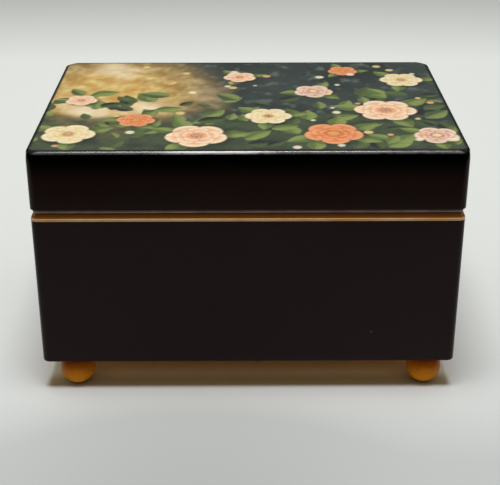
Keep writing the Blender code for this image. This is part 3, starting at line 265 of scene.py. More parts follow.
def rub_corners(shape, low, high):
    """Rub the lid's upper corners rounder than its other edges, as handling leaves them."""
    own = sizes()
    middle, half = middle_of(low, high), (high - low) / 2
    for vert in shape.verts:
        share = min((vert.co.z - high.z) / own.worn_height + 1, 1)
        if share <= 0:
            continue
        share *= share
        radius = own.corner_round + (own.worn_corner - own.corner_round) * share
        side = Vector([half[axis] - abs(vert.co[axis] - middle[axis]) for axis in (0, 1)])
        away = Vector((radius, radius)) - side
        if min(away) <= 0:
            continue
        past = Vector((own.corner_round, own.corner_round)) - side
        inset = own.corner_round - past.length if min(past) > 0 else min(side)
        turn = 2 * away.x * away.y / away.length_squared
        kept = away.normalized() * (radius - inset) * (1 - own.worn_off / radius * share * turn)
        for axis in (0, 1):
            vert.co[axis] -= math.copysign(away[axis] - kept[axis], vert.co[axis] - middle[axis])


def turned(profile, centre, axis="Z", steps=64, closed=False):
    """A shape turned from (radius, height) points about an axis through a centre."""
    shape = bmesh.new()
    verts = [shape.verts.new((radius, 0, height)) for radius, height in profile]
    edges = [shape.edges.new(pair) for pair in zip(verts[:-1], verts[1:])]
    if closed:
        edges.append(shape.edges.new((verts[-1], verts[0])))
    bmesh.ops.spin(shape, geom=verts + edges, cent=(0, 0, 0), axis=(0, 0, 1), dvec=(0, 0, 0),
                   angle=TURN, steps=steps, use_merge=True, use_duplicate=False)
    bmesh.ops.remove_doubles(shape, verts=shape.verts, dist=TOUCH)
    outward(shape)
    turns = {"Z": Matrix.Identity(3), "X": Euler((QUARTER, 0, QUARTER)).to_matrix()}
    bmesh.ops.rotate(shape, cent=(0, 0, 0), matrix=turns[axis], verts=shape.verts)
    bmesh.ops.translate(shape, vec=Vector(centre), verts=shape.verts)
    return shape


def plate(outline, low, high):
    """A flat outline of X and Y points, raised between two heights."""
    shape = bmesh.new()
    face = shape.faces.new([shape.verts.new((x, y, low)) for x, y in outline])
    pushed = bmesh.ops.extrude_face_region(shape, geom=[face])
    bmesh.ops.translate(shape, vec=(0, 0, high - low), verts=new_verts(pushed))
    outward(shape)
    return shape


def evaluated(made):
    """An object's shape with its modifiers applied."""
    bpy.context.view_layer.update()
    mesh = bpy.data.meshes.new_from_object(made.evaluated_get(bpy.context.evaluated_depsgraph_get()))
    result = bmesh.new()
    result.from_mesh(mesh)
    bpy.data.meshes.remove(mesh)
    return result


def framed(profile, low, high, corner_round, steps=6):
    """A closed frame round the box: (depth, height) points of its section, led round four corners."""
    shape = bmesh.new()
    loops = []
    corners = ((low.x, low.y, 1, 1), (high.x, low.y, -1, 1), (high.x, high.y, -1, -1), (low.x, high.y, 1, -1))
    for number, (x, y, way_x, way_y) in enumerate(corners):
        for step in range(steps + 1):
            angle = math.pi + QUARTER * (number + step / steps)
            verts = []
            for depth, height in profile:
                inner, radius = max(depth, corner_round), max(corner_round - depth, 0.0)
                verts.append(shape.verts.new((x + way_x * inner + radius * math.cos(angle),
                                              y + way_y * inner + radius * math.sin(angle), height)))
            loops.append([shape.edges.new(pair) for pair in zip(verts, verts[1:] + verts[:1])])
    for one, other in zip(loops, loops[1:] + loops[:1]):
        bmesh.ops.bridge_loops(shape, edges=one + other)
    bmesh.ops.remove_doubles(shape, verts=shape.verts, dist=TOUCH)
    bmesh.ops.dissolve_degenerate(shape, edges=shape.edges, dist=TOUCH)
    outward(shape)
    return shape


def placed(name, data):
    """An object for some data, in the scene."""
    made = bpy.data.objects.new(name, data)
    bpy.context.scene.collection.objects.link(made)
    return made


def as_object(shape, name="tool"):
    """A plain object from a shape."""
    mesh = bpy.data.meshes.new(name)
    shape.to_mesh(mesh)
    shape.free()
    return placed(name, mesh)


def combined(shape, tools, operation="DIFFERENCE"):
    """A shape with closed tools taken out of it, or joined to it."""
    body = as_object(shape, "body")
    cutters = [as_object(tool) for tool in tools]
    for cutter in cutters:
        boolean = body.modifiers.new(cutter.name, "BOOLEAN")
        boolean.operation = operation
        boolean.solver = "EXACT"
        boolean.object = cutter
    result = evaluated(body)
    for used in (body, *cutters):
        bpy.data.objects.remove(used, do_unlink=True)
    return result


def merged(*shapes):
    """Several shapes as one."""
    result = bmesh.new()
    for shape in shapes:
        mesh = bpy.data.meshes.new("joined")
        shape.to_mesh(mesh)
        shape.free()
        result.from_mesh(mesh)
        bpy.data.meshes.remove(mesh)
    return result


def tube(points, radius, sides):
    """A round wire along points, with closed ends."""
    curve = bpy.data.curves.new("wire", "CURVE")
    curve.dimensions = "3D"
    curve.bevel_depth = radius
    curve.bevel_resolution = sides // 4 - 1
    curve.use_fill_caps = True
    spline = curve.splines.new("POLY")
    spline.points.add(len(points) - 1)
    for point, spot in zip(spline.points, points):
        point.co = (*spot, 1)
    wire = placed("wire", curve)
    shape = evaluated(wire)
    bpy.data.objects.remove(wire, do_unlink=True)
    bmesh.ops.remove_doubles(shape, verts=shape.verts, dist=TOUCH)
    outward(shape)
    return shape


def finished(name, shape, finishes, body, stands_for="", sharp=35.0, weighted=True):
    """Turn a shape into a piece of the box, shaded smooth between its sharp edges, on its body."""
    piece = as_object(shape, name)
    piece.data.shade_smooth()
    piece.data.set_sharp_from_angle(angle=math.radians(sharp))
    for finish in finishes.split():
        piece.data.materials.append(finish_named(finish))
    if weighted:
        flats = piece.modifiers.new("flats", "WEIGHTED_NORMAL")
        flats.keep_sharp = True
        flats.weight = 80
    if body:
        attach(piece, body)
    if stands_for:
        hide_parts(*stands_for.split())
    return piece


def dressed(names, finish, arris=0.0, segments=3):
    """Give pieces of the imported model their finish, and soften their edges."""
    for name in names.split():
        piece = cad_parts[name]
        piece.data.materials.clear()
        piece.data.materials.append(finish_named(finish))
        if arris:
            weld = piece.modifiers.new("weld", "WELD")
            weld.merge_threshold = NEAR
            bevel = piece.modifiers.new("arris", "BEVEL")
            bevel.width = arris
            bevel.segments = segments
            bevel.limit_method = "ANGLE"
            bevel.angle_limit = math.radians(50)
            bevel.use_clamp_overlap = True


# Materials


def fill(made, *values, **named):
    """Set a node's own properties, and its sockets in their order or by name. A socket given is linked."""
    for key in [key for key in named if hasattr(made, key)]:
        setattr(made, key, named.pop(key))
    usable = [socket for socket in made.inputs if socket.enabled]
    by_name = {socket.name: socket for socket in reversed(usable)}
    chosen = list(zip(usable, values))
    chosen += [(by_name[key.replace("_", " ")], value) for key, value in named.items()]
    for socket, value in chosen:
        if isinstance(value, bpy.types.NodeSocket):
            made.id_data.links.new(value, socket)
        elif value is not None:
            socket.default_value = value


def node(tree, kind, *values, stops=(), **named):
    """Add a node with its settings and links, and give its first output."""
    made = tree.nodes.new("ShaderNode" + kind)
    for _ in stops[2:]:
        made.color_ramp.elements.new(0.5)
    for element, (position, shade) in zip(made.color_ramp.elements if stops else (), stops):
        element.position = position
        element.color = shade
    fill(made, *values, **named)
    return next(socket for socket in made.outputs if socket.enabled)


def per_mm(size):
    """A texture's scale for features of a size in millimetres."""
    return 1 / (size * MM)


def new_finish(name, **settings):
    """A material with its shader's own sockets set, its tree and its object coordinates."""
    finish = bpy.data.materials.new(name)
    finish.use_nodes = True
    fill(finish.node_tree.nodes["Principled BSDF"], **settings)
    return finish, finish.node_tree, node(finish.node_tree, "TexCoord").node.outputs["Object"]


def surfaced(finish, tone, rough, relief, strength, depth_mm):
    """Give a finish its colour, its roughness and the relief of a pattern, and hand it back."""
    tree = finish.node_tree
    bump = node(tree, "Bump", strength, depth_mm * MM, Height=relief) if relief else None
    fill(tree.nodes["Principled BSDF"], Base_Color=tone, Roughness=rough, Normal=bump)
    return finish


def tinted(tree, tone, place, tint, none, full, blend="LINEAR"):
    """A colour that turns into a tint between two heights."""
    level = node(tree, "SeparateXYZ", place).node.outputs["Z"]
    share = node(tree, "MapRange", level, none, full, interpolation_type=blend)
    return node(tree, "Mix", share, tone, tint, data_type="RGBA")


def shaded(tree, tone, pattern, *ends):
    """A colour made lighter and darker by a pattern: its two ends, and what each turns into."""
    return node(tree, "VectorMath", tone, node(tree, "MapRange", pattern, *ends), operation="SCALE")


def lacquer(name, edge):
    """Brown-black polyester lacquer, sprayed and rubbed out. It gives a deep, even gloss with a faint
    orange peel, a warmer brown where it lies thin, a few dust specks and soft hand marks. Over the
    lid's upper front its colour is painted darker, to black, as a painted reflection; with an edge it
    also carries the painted highlight along the lid's front top edge."""
    own = colours()
    finish, tree, place = new_finish(name, Specular_IOR_Level=0.3 if edge else 0.12, IOR=1.5)
    thin = node(tree, "TexNoise", place, per_mm(38), 3.0)
    body = node(tree, "Mix", thin, own.lacquer, own.lacquer_glow, data_type="RGBA")
    foot = span("lid_front_rail", "lid_board")[0].z
    # Painted reflection: from 9.5 to 19 mm above the lid's lower edge the lacquer is painted darker, fully
    # black above
    body = tinted(tree, body, place, own.reflection_black, foot + 9.5 * MM, foot + 19 * MM, "SMOOTHSTEP")
    away, chance = node(tree, "TexVoronoi", place, per_mm(7.5)).node.outputs[:2]
    first, second = node(tree, "SeparateColor", chance).node.outputs[:2]
    few = node(tree, "Math", first, 0.62, operation="GREATER_THAN")
    reach = node(tree, "MapRange", second, 0.0, 1.0, 0.014, 0.055)
    near = node(tree, "Math", reach, away, operation="SUBTRACT")
    speck = node(tree, "MapRange", near, 0.0, 0.014, 0.0, 0.42)
    dust = node(tree, "Math", speck, few, operation="MULTIPLY")
    tone = node(tree, "Mix", dust, body, own.dust, data_type="RGBA")
    # Painted highlight along the lid's front top edge
    if edge:
        tone = painted_edge_highlight(tree, place, tone)
    marks = node(tree, "TexNoise", place, per_mm(16), 4.0, 0.6)
    gloss = node(tree, "MapRange", marks, 0.3, 0.75, 0.09, 0.2)
    rough = node(tree, "Math", gloss, dust, operation="MAXIMUM")
    peel = node(tree, "TexNoise", place, per_mm(2.2), 1.0)
    return surfaced(finish, tone, rough, peel, 0.12, 0.03)


def painted_edge_highlight(tree, place, under):
    """A painted highlight: the pale line along the lid's front top edge, strongest left of the middle,
    broken up by small patches."""
    low, high = span("lid_board", "lid_picture")
    x, y, z = node(tree, "SeparateXYZ", place).node.outputs
    front = node(tree, "MapRange", y, low.y + 0.8 * MM, low.y + 0.5 * MM)
    top = node(tree, "MapRange", z, high.z - 1.25 * MM, high.z - 0.35 * MM)
    # Strength of the painted highlight from the lid's left to its right
    worn = ((0.0, 0.16), (0.28, 0.26), (0.36, 0.92), (0.5, 0.9), (0.57, 0.26), (1.0, 0.24))
    strength = node(tree, "ValToRGB", node(tree, "MapRange", x, low.x, high.x),
                    stops=[(spot, (share, share, share, 1)) for spot, share in worn])
    stretched = node(tree, "Mapping", place, Scale=(0.35, 1.0, 1.0))
    breaks = node(tree, "TexNoise", stretched, per_mm(1.1), 3.0)
    shown = front
    for share in (top, strength, node(tree, "MapRange", breaks, 0.32, 0.5, 0.35)):
        shown = node(tree, "Math", shown, share, operation="MULTIPLY")
    return node(tree, "Mix", shown, under, colours().rubbed, data_type="RGBA")


def gold_paint(name, light, dark, shine, paled=None):
    """Gold bronze paint brushed on wood: warm and half glossy, deeper where it pools, with fine brush
    lines along the strip and a slight metal flake. Paled is a lighter colour and the heights between
    which it comes in; on the rim's band this is painted light, lighter at its foot than under the lid."""
    finish, tree, place = new_finish(name, Metallic=0.1, Specular_IOR_Level=shine, IOR=1.5)
    pools = node(tree, "MapRange", node(tree, "TexNoise", place, per_mm(9), 4.0), 0.35, 0.7, 0.0, 0.6)
    tone = node(tree, "Mix", pools, light, dark, data_type="RGBA")
    if paled:
        tone = tinted(tree, tone, place, *paled)
    flake = node(tree, "TexVoronoi", place, per_mm(0.35))
    flat = node(tree, "Mapping", place, Scale=(1.0, 1.0, 6.0))
    lines = node(tree, "TexNoise", flat, per_mm(1.6), 2.0)
    return surfaced(finish, shaded(tree, tone, flake, 0.0, 0.5, 1.12, 0.92),
                    node(tree, "MapRange", lines, 0.0, 1.0, 0.24, 0.4), lines, 0.25, 0.04)


def amber_wood(name, light, dark, grain_mm, figure, along, coat=0.0, pooled=None):
    """Beech, turned or planed, stained amber and lacquered: glossy, with fine grain lines and pores
    under the clear coat. A darker colour may be given with the heights between which it comes in;
    on the feet this is painted shade, darker at their tops under the box."""
    finish, tree, place = new_finish(name, Coat_Weight=coat, Coat_Roughness=0.06, IOR=1.5,
                                     Specular_IOR_Level=0.08)
    drawn = node(tree, "Mapping", place, Scale=along)
    grain = node(tree, "TexNoise", drawn, per_mm(grain_mm), 5.0, Distortion=0.4)
    lines = node(tree, "MapRange", grain, 0.38, 0.66, 0.0, figure)
    broad = node(tree, "TexNoise", place, per_mm(7), 2.0)
    share = node(tree, "Math", lines, broad, operation="MULTIPLY")
    tone = node(tree, "Mix", share, light, dark, data_type="RGBA")
    if pooled:
        tone = tinted(tree, tone, place, *pooled)
    return surfaced(finish, tone, node(tree, "MapRange", grain, 0.0, 1.0, 0.22, 0.36), grain, 0.15, 0.03)


def varnished_print(name):
    """A printed paper sheet under picture varnish: flat ink with paper tooth, brush lines in the
    varnish, and an even half gloss with a few hairline scratches."""
    finish, tree, place = new_finish(name, IOR=1.5, Coat_Weight=0.15, Coat_Roughness=0.16,
                                     Specular_IOR_Level=0.4)
    ink = node(tree, "VertexColor", layer_name="print_colour")
    tooth = node(tree, "TexNoise", place, per_mm(0.5), 3.0)
    drawn = node(tree, "Mapping", place, Scale=(0.3, 1.6, 1.0), Rotation=(0, 0, 0.35))
    strokes = node(tree, "TexNoise", drawn, per_mm(1.4), 4.0, Distortion=0.6)
    uneven = node(tree, "Math", tooth, strokes, operation="MULTIPLY")
    across = node(tree, "Mapping", place, Scale=(0.05, 1.0, 1.0), Rotation=(0, 0, -0.5))
    hairs = node(tree, "TexNoise", across, per_mm(0.9), 1.0)
    scratch = node(tree, "MapRange", hairs, 0.72, 0.78, 0.0, 0.25)
    rough = node(tree, "Math", node(tree, "MapRange", strokes, 0.0, 1.0, 0.24, 0.36), scratch,
                 operation="ADD")
    return surfaced(finish, shaded(tree, ink, uneven, 0.12, 0.42, 0.8, 1.16), rough, strokes, 0.2, 0.03)


def velvet(name):
    """Cotton velvet glued to card: a short dense pile that darkens face on, shines at the edges and
    shows brushed patches."""
    finish, tree, place = new_finish(name, Roughness=0.95, Specular_IOR_Level=0.1, Sheen_Weight=0.3,
                                     Sheen_Roughness=0.3, Sheen_Tint=(0.8, 0.22, 0.28, 1))
    brushed = node(tree, "TexNoise", place, per_mm(14), 3.0, Distortion=0.8)
    pile = node(tree, "TexNoise", place, per_mm(0.4), 2.0)
    both = node(tree, "Math", brushed, pile, operation="MULTIPLY")
    tone = shaded(tree, colours().velvet[:3], both, 0.1, 0.4, 0.55, 1.45)
    return surfaced(finish, tone, None, pile, 0.5, 0.15)


def metal(name, tone, roughness, marks_mm, stretch, stain=0.25, depth_mm=0.02):
    """A bare or plated metal with fine tool marks of a size, drawn out along the way it was worked,
    and faint stains where it was handled."""
    finish, tree, place = new_finish(name, Metallic=1.0)
    marks = node(tree, "TexNoise", node(tree, "Mapping", place, Scale=stretch), per_mm(marks_mm), 3.0)
    stains = node(tree, "TexNoise", place, per_mm(6), 3.0)
    rough = node(tree, "MapRange", marks, 0.0, 1.0, roughness * 0.7, roughness * 1.4)
    return surfaced(finish, shaded(tree, tone[:3], stains, 0.35, 0.75, 1.0, 1.0 - stain), rough, marks,
                    0.2, depth_mm)


def mirror_glass(name):
    """Silvered float glass: a bright, flat reflection with a faint haze of handling and a cool tint."""
    finish, tree, place = new_finish(name, Metallic=1.0)
    haze = node(tree, "TexNoise", place, per_mm(22), 3.0)
    spot = node(tree, "MapRange", node(tree, "TexVoronoi", place, per_mm(9)), 0.012, 0.03)
    tone = node(tree, "Mix", spot, linear("#9fa4a3"), linear("#e3e9e8"), data_type="RGBA")
    return surfaced(finish, tone, node(tree, "MapRange", haze, 0.4, 0.8, 0.0, 0.05), None, 0, 0)


def clear_acrylic(name):
    """Cast acrylic sheet, flame polished: clear and faintly cool, with hairline scratches that catch
    the light."""
    finish, tree, place = new_finish(name, Transmission_Weight=1.0, IOR=1.49)
    drawn = node(tree, "Mapping", place, Scale=(0.06, 1.0, 1.0), Rotation=(0, 0, 0.6))
    hairs = node(tree, "TexNoise", drawn, per_mm(0.7), 2.0)
    cloud = node(tree, "TexNoise", place, per_mm(30))
    tone = node(tree, "Mix", cloud, linear("#f4f9f8"), linear("#e9f1f0"), data_type="RGBA")
    return surfaced(finish, tone, node(tree, "MapRange", hairs, 0.68, 0.76, 0.015, 0.16), None, 0, 0)


def nylon_moulding(name):
    """Moulded nylon: milky, waxy white with a satin skin and light flow marks."""
    finish, tree, place = new_finish(name, IOR=1.53, Subsurface_Weight=0.2, Subsurface_Scale=0.5 * MM)
    flow = node(tree, "TexNoise", place, per_mm(2.5), 3.0, Distortion=1.0)
    tone = shaded(tree, colours().nylon[:3], flow, 0.0, 1.0, 0.9, 1.05)
    return surfaced(finish, tone, node(tree, "MapRange", flow, 0.0, 1.0, 0.35, 0.5), None, 0, 0)


def finish_named(name):
    """One of the box's finishes, made the first time that a piece asks for it."""
    if name in bpy.data.materials:
        return bpy.data.materials[name]
    own = colours()
    lip_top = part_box("case_front")[1].z + sizes().rim_lip
    # Painted light: the band lightens from 1.5 mm above its lip down to the lip
    paled = (own.gilt_foot_light, lip_top + 1.5 * MM, lip_top - 0.2 * MM)
    # Painted shade: the feet darken from 4.5 mm up to 11 mm, under the box
    pooled = (own.foot_seat, 4.5 * MM, 11.0 * MM)
    maker, *settings = {
        "black_lacquer": (lacquer, False),
        # Lacquer of the lid's rounded edges, with the painted highlight along the front top edge
        "rubbed_edge_lacquer": (lacquer, True),
        # Gold paint of the rim's band, of its lip, painted paler as lit, and of its top bead, painted pale as
        # its highlight
        "gold_paint": (gold_paint, own.gilt, own.gilt_deep, 0.15, paled),
        "rubbed_gold_paint": (gold_paint, own.gilt_lit, own.foot, 0.4),
        "worn_gold_paint": (gold_paint, own.gilt_highlight, own.gilt, 0.5),
        "stained_underside": (amber_wood, own.underside, own.foot_grain, 1.8, 0.7, (0.06, 1.0, 1.0)),
        "amber_lacquered_beech": (amber_wood, own.foot, own.foot_grain, 1.1, 0.35, (1.0, 1.0, 0.16),
                                  0.03, pooled),
        "varnished_print": (varnished_print,),
        "wine_velvet": (velvet,),
        "silvered_glass": (mirror_glass,),
        "clear_acrylic": (clear_acrylic,),
        "moulded_nylon": (nylon_moulding,),
        # Warm metal with fine rings and a little tarnish
        "turned_brass": (metal, own.brass, 0.24, 0.5, (1, 1, 4)),
        # Grey metal with fine grinding lines
        "ground_steel": (metal, own.steel, 0.22, 0.4, (5, 1, 1), 0.15),
        # Nickel plated zinc: pale satin metal with a slight skin from the mould
        "plated_casting": (metal, own.casting, 0.38, 0.9, (1, 1, 1), 0.12, 0.05),
    }[name]
    return maker(name, *settings)


# Operators for the box


class MUSICBOX_OT_case(bpy.types.Operator):
    """Model the lacquered body: one seamless case with rounded corners, hollow from above"""

    bl_idname = "musicbox.case"
    bl_label = "Lacquered case"

    def execute(self, context):
        own = sizes()
        low, high = span("bottom_board", "case_front", "case_back")
        shape = cuboid(low, high)
        hollowed(shape, 1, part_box("case_left")[1].x - low.x, high.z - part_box("bottom_board")[1].z)
        round_off(shape, upright_edges(shape, low, high), own.corner_round, 8)
        round_off(shape, level_edges(shape, low.z), own.base_edge_round)
        outward(shape)
        for face in shape.faces:
            if face.normal.z < -0.9 and face.calc_center_median().z < low.z + NEAR:
                face.material_index = 1
        arbor, radius, _, _ = round_of("winding_arbor")
        key_hole = rod(radius + 0.9 * MM, -5 * MM, 12 * MM)
        shape = combined(shape, [turned(key_hole, (arbor.x, arbor.y, low.z), steps=48)])
        finished("lacquered_case", shape, "black_lacquer stained_underside", "case",
                 "bottom_board case_front case_back case_left case_right")
        return {"FINISHED"}


def hinge_mortises(above):
    """Shapes that let the hinges' leaves and knuckles into the rim or the lid."""
    gap, knuckle, leaf, clear = 0.3 * MM, 1.8 * MM, 1.25 * MM, 3 * MM
    under, over = (clear, leaf) if above else (leaf, clear)
    tools = []
    for side in ("left", "right"):
        low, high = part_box(f"hinge_{side}_{'lid' if above else 'body'}_leaf")
        axis, half, _, _ = round_of(f"hinge_{side}_pin")
        tools.append(cuboid((low.x - gap, low.y - gap, axis.z - under),
                            (high.x + gap, axis.y + clear, axis.z + over)))
        tools.append(turned(rod(knuckle, -half - gap, half + gap), axis, "X", 40))
    return tools


class MUSICBOX_OT_rim(bpy.types.Operator):
    """Model the gold rim: a rounded lip as wide as the wall, with a set-back band on it"""

    bl_idname = "musicbox.rim"
    bl_label = "Gold rim"

    def execute(self, context):
        own = sizes()
        strips = "rim_front rim_back rim_left rim_right"
        low, high = span(*strips.split())
        case_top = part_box("case_front")[1]
        bottom, lip_top = case_top.z + 0.02 * MM, case_top.z + own.rim_lip
        wall, bead_low = case_top.y - low.y, high.z - own.rim_bead
        soft, cove, band = own.rim_lip_round, own.rim_cove, own.rim_recess
        bulge, proud, shy = own.rim_bead / 2, 0.35 * MM, math.pi / 7
        profile = [(0, bottom)]
        profile += arc((soft, lip_top - soft), soft, 2 * QUARTER, QUARTER, 4)
        profile += arc((band - cove, lip_top + cove), cove, -QUARTER, 0, 5)
        profile.append((band, bead_low))
        profile += arc((band, bead_low + bulge), (proud, bulge), 3 * QUARTER - shy, QUARTER + shy, 5)
        profile += [(band, high.z), (wall, high.z), (wall, bottom)]
        shape = framed(profile, low, high, own.corner_round)
        # The lip takes the paler gold of painted light, the bead's curve the gold of its painted highlight
        for face in shape.faces:
            height = face.calc_center_median().z
            if height < lip_top - NEAR:
                face.material_index = 1
            elif height > bead_low and abs(face.normal.z) < 0.98:
                face.material_index = 2
        shape = combined(shape, hinge_mortises(False))
        finished("gold_rim", shape, "gold_paint rubbed_gold_paint worn_gold_paint", "case", strips)
        return {"FINISHED"}


def edge_is_outer(edge, low, high):
    """True for an edge that lies in the outer part of a box's walls."""
    spot = middle_of(*(vert.co for vert in edge.verts))
    return min(spot.x - low.x, high.x - spot.x, spot.y - low.y, high.y - spot.y) <= 2.8 * MM


class MUSICBOX_OT_lid(bpy.types.Operator):
    """Model the lid: one lacquered shell, rounded along its top, hollow from below"""

    bl_idname = "musicbox.lid"
    bl_label = "Lacquered lid"

    def execute(self, context):
        own = sizes()
        low, high = span("lid_front_rail", "lid_back_rail", "lid_board")
        high.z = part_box("lid_picture")[1].z - own.print_paper
        shape = cuboid(low, high)
        hollowed(shape, -1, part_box("lid_front_rail")[1].y - low.y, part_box("lid_board")[0].z - low.z)
        round_off(shape, upright_edges(shape, low, high), own.corner_round, 8)
        round_off(shape, level_edges(shape, high.z), own.lid_edge_round, 8)
        outer = [edge for edge in level_edges(shape, low.z) if edge_is_outer(edge, low, high)]
        round_off(shape, outer, own.lid_lip_round)
        outward(shape)
        # The rounded edges take the lacquer that carries the painted highlight
        for face in shape.faces:
            if 0.05 < abs(face.normal.z) < 0.995:
                face.material_index = 1
        middle, half = middle_of(low, high), (high - low) / 2
        cuts = [((0, 0, high.z - own.worn_height * part), (0, 0, 1)) for part in (0.45, 0.6, 0.8, 1)]
        for reach in (own.worn_corner, (own.worn_corner + own.corner_round) / 2):
            for sign in (-1, 1):
                cuts.append(((middle.x + sign * (half.x - reach), 0, 0), (1, 0, 0)))
                cuts.append(((0, middle.y + sign * (half.y - reach), 0), (0, 1, 0)))
        for place, facing in cuts:
            bmesh.ops.bisect_plane(shape, geom=shape.verts[:] + shape.edges[:] + shape.faces[:],
                                   dist=NEAR, plane_co=place, plane_no=facing)
        rub_corners(shape, low, high)
        shape = combined(shape, hinge_mortises(True))
        finished("lacquered_lid", shape, "black_lacquer rubbed_edge_lacquer", "lid",
                 "lid_front_rail lid_back_rail lid_left_rail lid_right_rail lid_board")
        return {"FINISHED"}


class MUSICBOX_OT_feet(bpy.types.Operator):
    """Model the four turned ball feet with the flat that they stand on"""

    bl_idname = "musicbox.feet"
    bl_label = "Ball feet"

    def execute(self, context):
        flat, tenon = 0.25 * MM, 2.5 * MM
        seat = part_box("bottom_board")[0].z - 0.02 * MM
        for name in [f"ball_foot_{end}_{side}" for end in ("front", "back") for side in ("left", "right")]:
            middle, radius, _, high = round_of(name)
            centre = radius - flat
            neck, sole = math.acos((seat - centre) / radius), math.acos(centre / radius)
            profile = [(0, high.z), (tenon, high.z), (tenon, seat)]
            profile += arc((0, centre), radius, QUARTER - neck, sole - QUARTER, 40) + [(0, 0)]
            finished(f"turned_{name}", turned(profile, (middle.x, middle.y, 0), steps=72),
                     "amber_lacquered_beech", "case", name)
        return {"FINISHED"}


# Operators for the inside


class MUSICBOX_OT_partitions(bpy.types.Operator):
    """Finish the partitions and the ledges that carry the clear cover"""

    bl_idname = "musicbox.partitions"
    bl_label = "Partitions and ledges"

    def execute(self, context):
        dressed("long_partition cross_partition cover_ledge_left cover_ledge_right", "black_lacquer",
                sizes().arris)
        return {"FINISHED"}


def soft_top(low, high, roll, height_at, step):
    """A closed pad between two corners: a fine top that follows a height over X and Y and rolls down
    at its rim, with sides that pull in a little, over a flat base."""
    wide, deep = high.x - low.x, high.y - low.y
    centre, half = middle_of(low, high), (high - low) / 2
    shape = bmesh.new()
    bmesh.ops.create_grid(shape, x_segments=round(wide / step), y_segments=round(deep / step), size=0.5)
    bmesh.ops.scale(shape, vec=(wide, deep, 1), verts=shape.verts)
    bmesh.ops.translate(shape, vec=(centre.x, centre.y, 0), verts=shape.verts)
    rim = [edge for edge in shape.edges if edge.is_boundary]
    for vert in shape.verts:
        near = [min(vert.co[axis] - low[axis], high[axis] - vert.co[axis]) for axis in (0, 1)]
        over = min(math.hypot(*(max(0.0, roll - one) for one in near)), roll)
        vert.co.z = height_at(vert.co.x, vert.co.y) - roll + math.sqrt(max(roll * roll - over * over, 0.0))
    for level, tuck in (((low.z + high.z - roll) / 2, 0.25 * MM), (low.z, 0.45 * MM)):
        pushed = bmesh.ops.extrude_edge_only(shape, edges=rim)
        rim = [item for item in pushed["geom"] if isinstance(item, bmesh.types.BMEdge) and item.is_boundary]
        for vert in new_verts(pushed):
            vert.co.z = level
            for axis in (0, 1):
                inward = centre[axis] - vert.co[axis]
                if abs(inward) > half[axis] - 2 * tuck:
                    vert.co[axis] += math.copysign(tuck, inward)
    bmesh.ops.contextual_create(shape, geom=rim)
    outward(shape)
    return shape


def velvet_pad(name, shape, body, stands_for):
    """A padded piece of velvet, from its shape."""
    finished(name, shape, "wine_velvet", body, stands_for, 60, False)


def crowned(low, high, rise):
    """The height of a stuffed top that swells to its middle, a little uneven as wadding is."""
    centre = middle_of(low, high)
    wide, deep = high.x - low.x, high.y - low.y

    def height(x, y):
        across = 2 * (x - centre.x) / wide
        along = 2 * (y - centre.y) / deep
        swell = (1 - across ** 4) * (1 - along ** 4)
        lumps = math.sin(x / MM / 9.0 + 1) * math.sin(y / MM / 7.0) + math.sin((x + y) / MM / 13.0)
        return high.z - rise * 0.4 + rise * swell + 0.06 * MM * lumps

    return height


class MUSICBOX_OT_velvet(bpy.types.Operator):
    """Model the velvet linings: the tray's lining and pad, the ring rolls and the lid's panel"""

    bl_idname = "musicbox.velvet"
    bl_label = "Velvet linings"

    def execute(self, context):
        own = sizes()
        low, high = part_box("tray_liner")
        shape = cuboid(low, high)
        card = 1.2 * MM
        hollowed(shape, 1, card, high.z - low.z - card)
        round_off(shape, level_edges(shape, high.z), 0.5 * MM)
        outward(shape)
        finished("velvet_tray_lining", shape, "wine_velvet", "case", "tray_liner")

        low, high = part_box("tray_pad")
        shape = soft_top(low, high, 1.8 * MM, crowned(low, high, own.pad_crown), 0.9 * MM)
        velvet_pad("velvet_tray_pad", shape, "case", "tray_pad")

        low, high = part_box("ring_cell_pad")
        rolls, depth, rise = 6, 2.4 * MM, 0.5 * MM
        pitch = (high.y - low.y) / rolls
        swell = crowned(low, high, own.pad_crown)

        def rolled(x, y):
            share = ((y - low.y) / pitch) % 1.0
            bow = math.sqrt(max(0.0, 1 - (2 * share - 1) ** 2 * 0.97))
            return swell(x, y) + rise - depth * (1 - bow)

        velvet_pad("velvet_ring_rolls", soft_top(low, high, 1.4 * MM, rolled, 0.45 * MM), "case",
                   "ring_cell_pad")

        low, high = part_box("lid_lining")
        low.z, high.z = -high.z, -low.z
        shape = soft_top(low, high, 0.7 * MM, crowned(low, high, 0.15 * MM), 1.1 * MM)
        bmesh.ops.transform(shape, matrix=Matrix.Diagonal((1, 1, -1, 1)), verts=shape.verts)
        outward(shape)
        velvet_pad("velvet_lid_panel", shape, "lid", "lid_lining")
        return {"FINISHED"}


class MUSICBOX_OT_glass(bpy.types.Operator):
    """Model the lid's bevelled mirror and finish the clear cover over the movement"""

    bl_idname = "musicbox.glass"
    bl_label = "Mirror and clear cover"

    def execute(self, context):
        low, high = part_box("lid_mirror")
        shape = cuboid(low, high)
        under = [face for face in shape.faces if face.normal.z < -0.5]
        outer = list(under[0].verts)
        bmesh.ops.inset_region(shape, faces=under, thickness=5 * MM, use_even_offset=True)
        for vert in outer:
            vert.co.z = low.z + 0.8 * MM
        round_off(shape, upright_edges(shape, low, high), 0.5 * MM)
        round_off(shape, level_edges(shape, high.z), 0.15 * MM, 2)
        outward(shape)
        finished("bevelled_mirror", shape, "silvered_glass", "lid", "lid_mirror", 4.0)
        dressed("movement_cover", "clear_acrylic", 0.25 * MM)
        return {"FINISHED"}


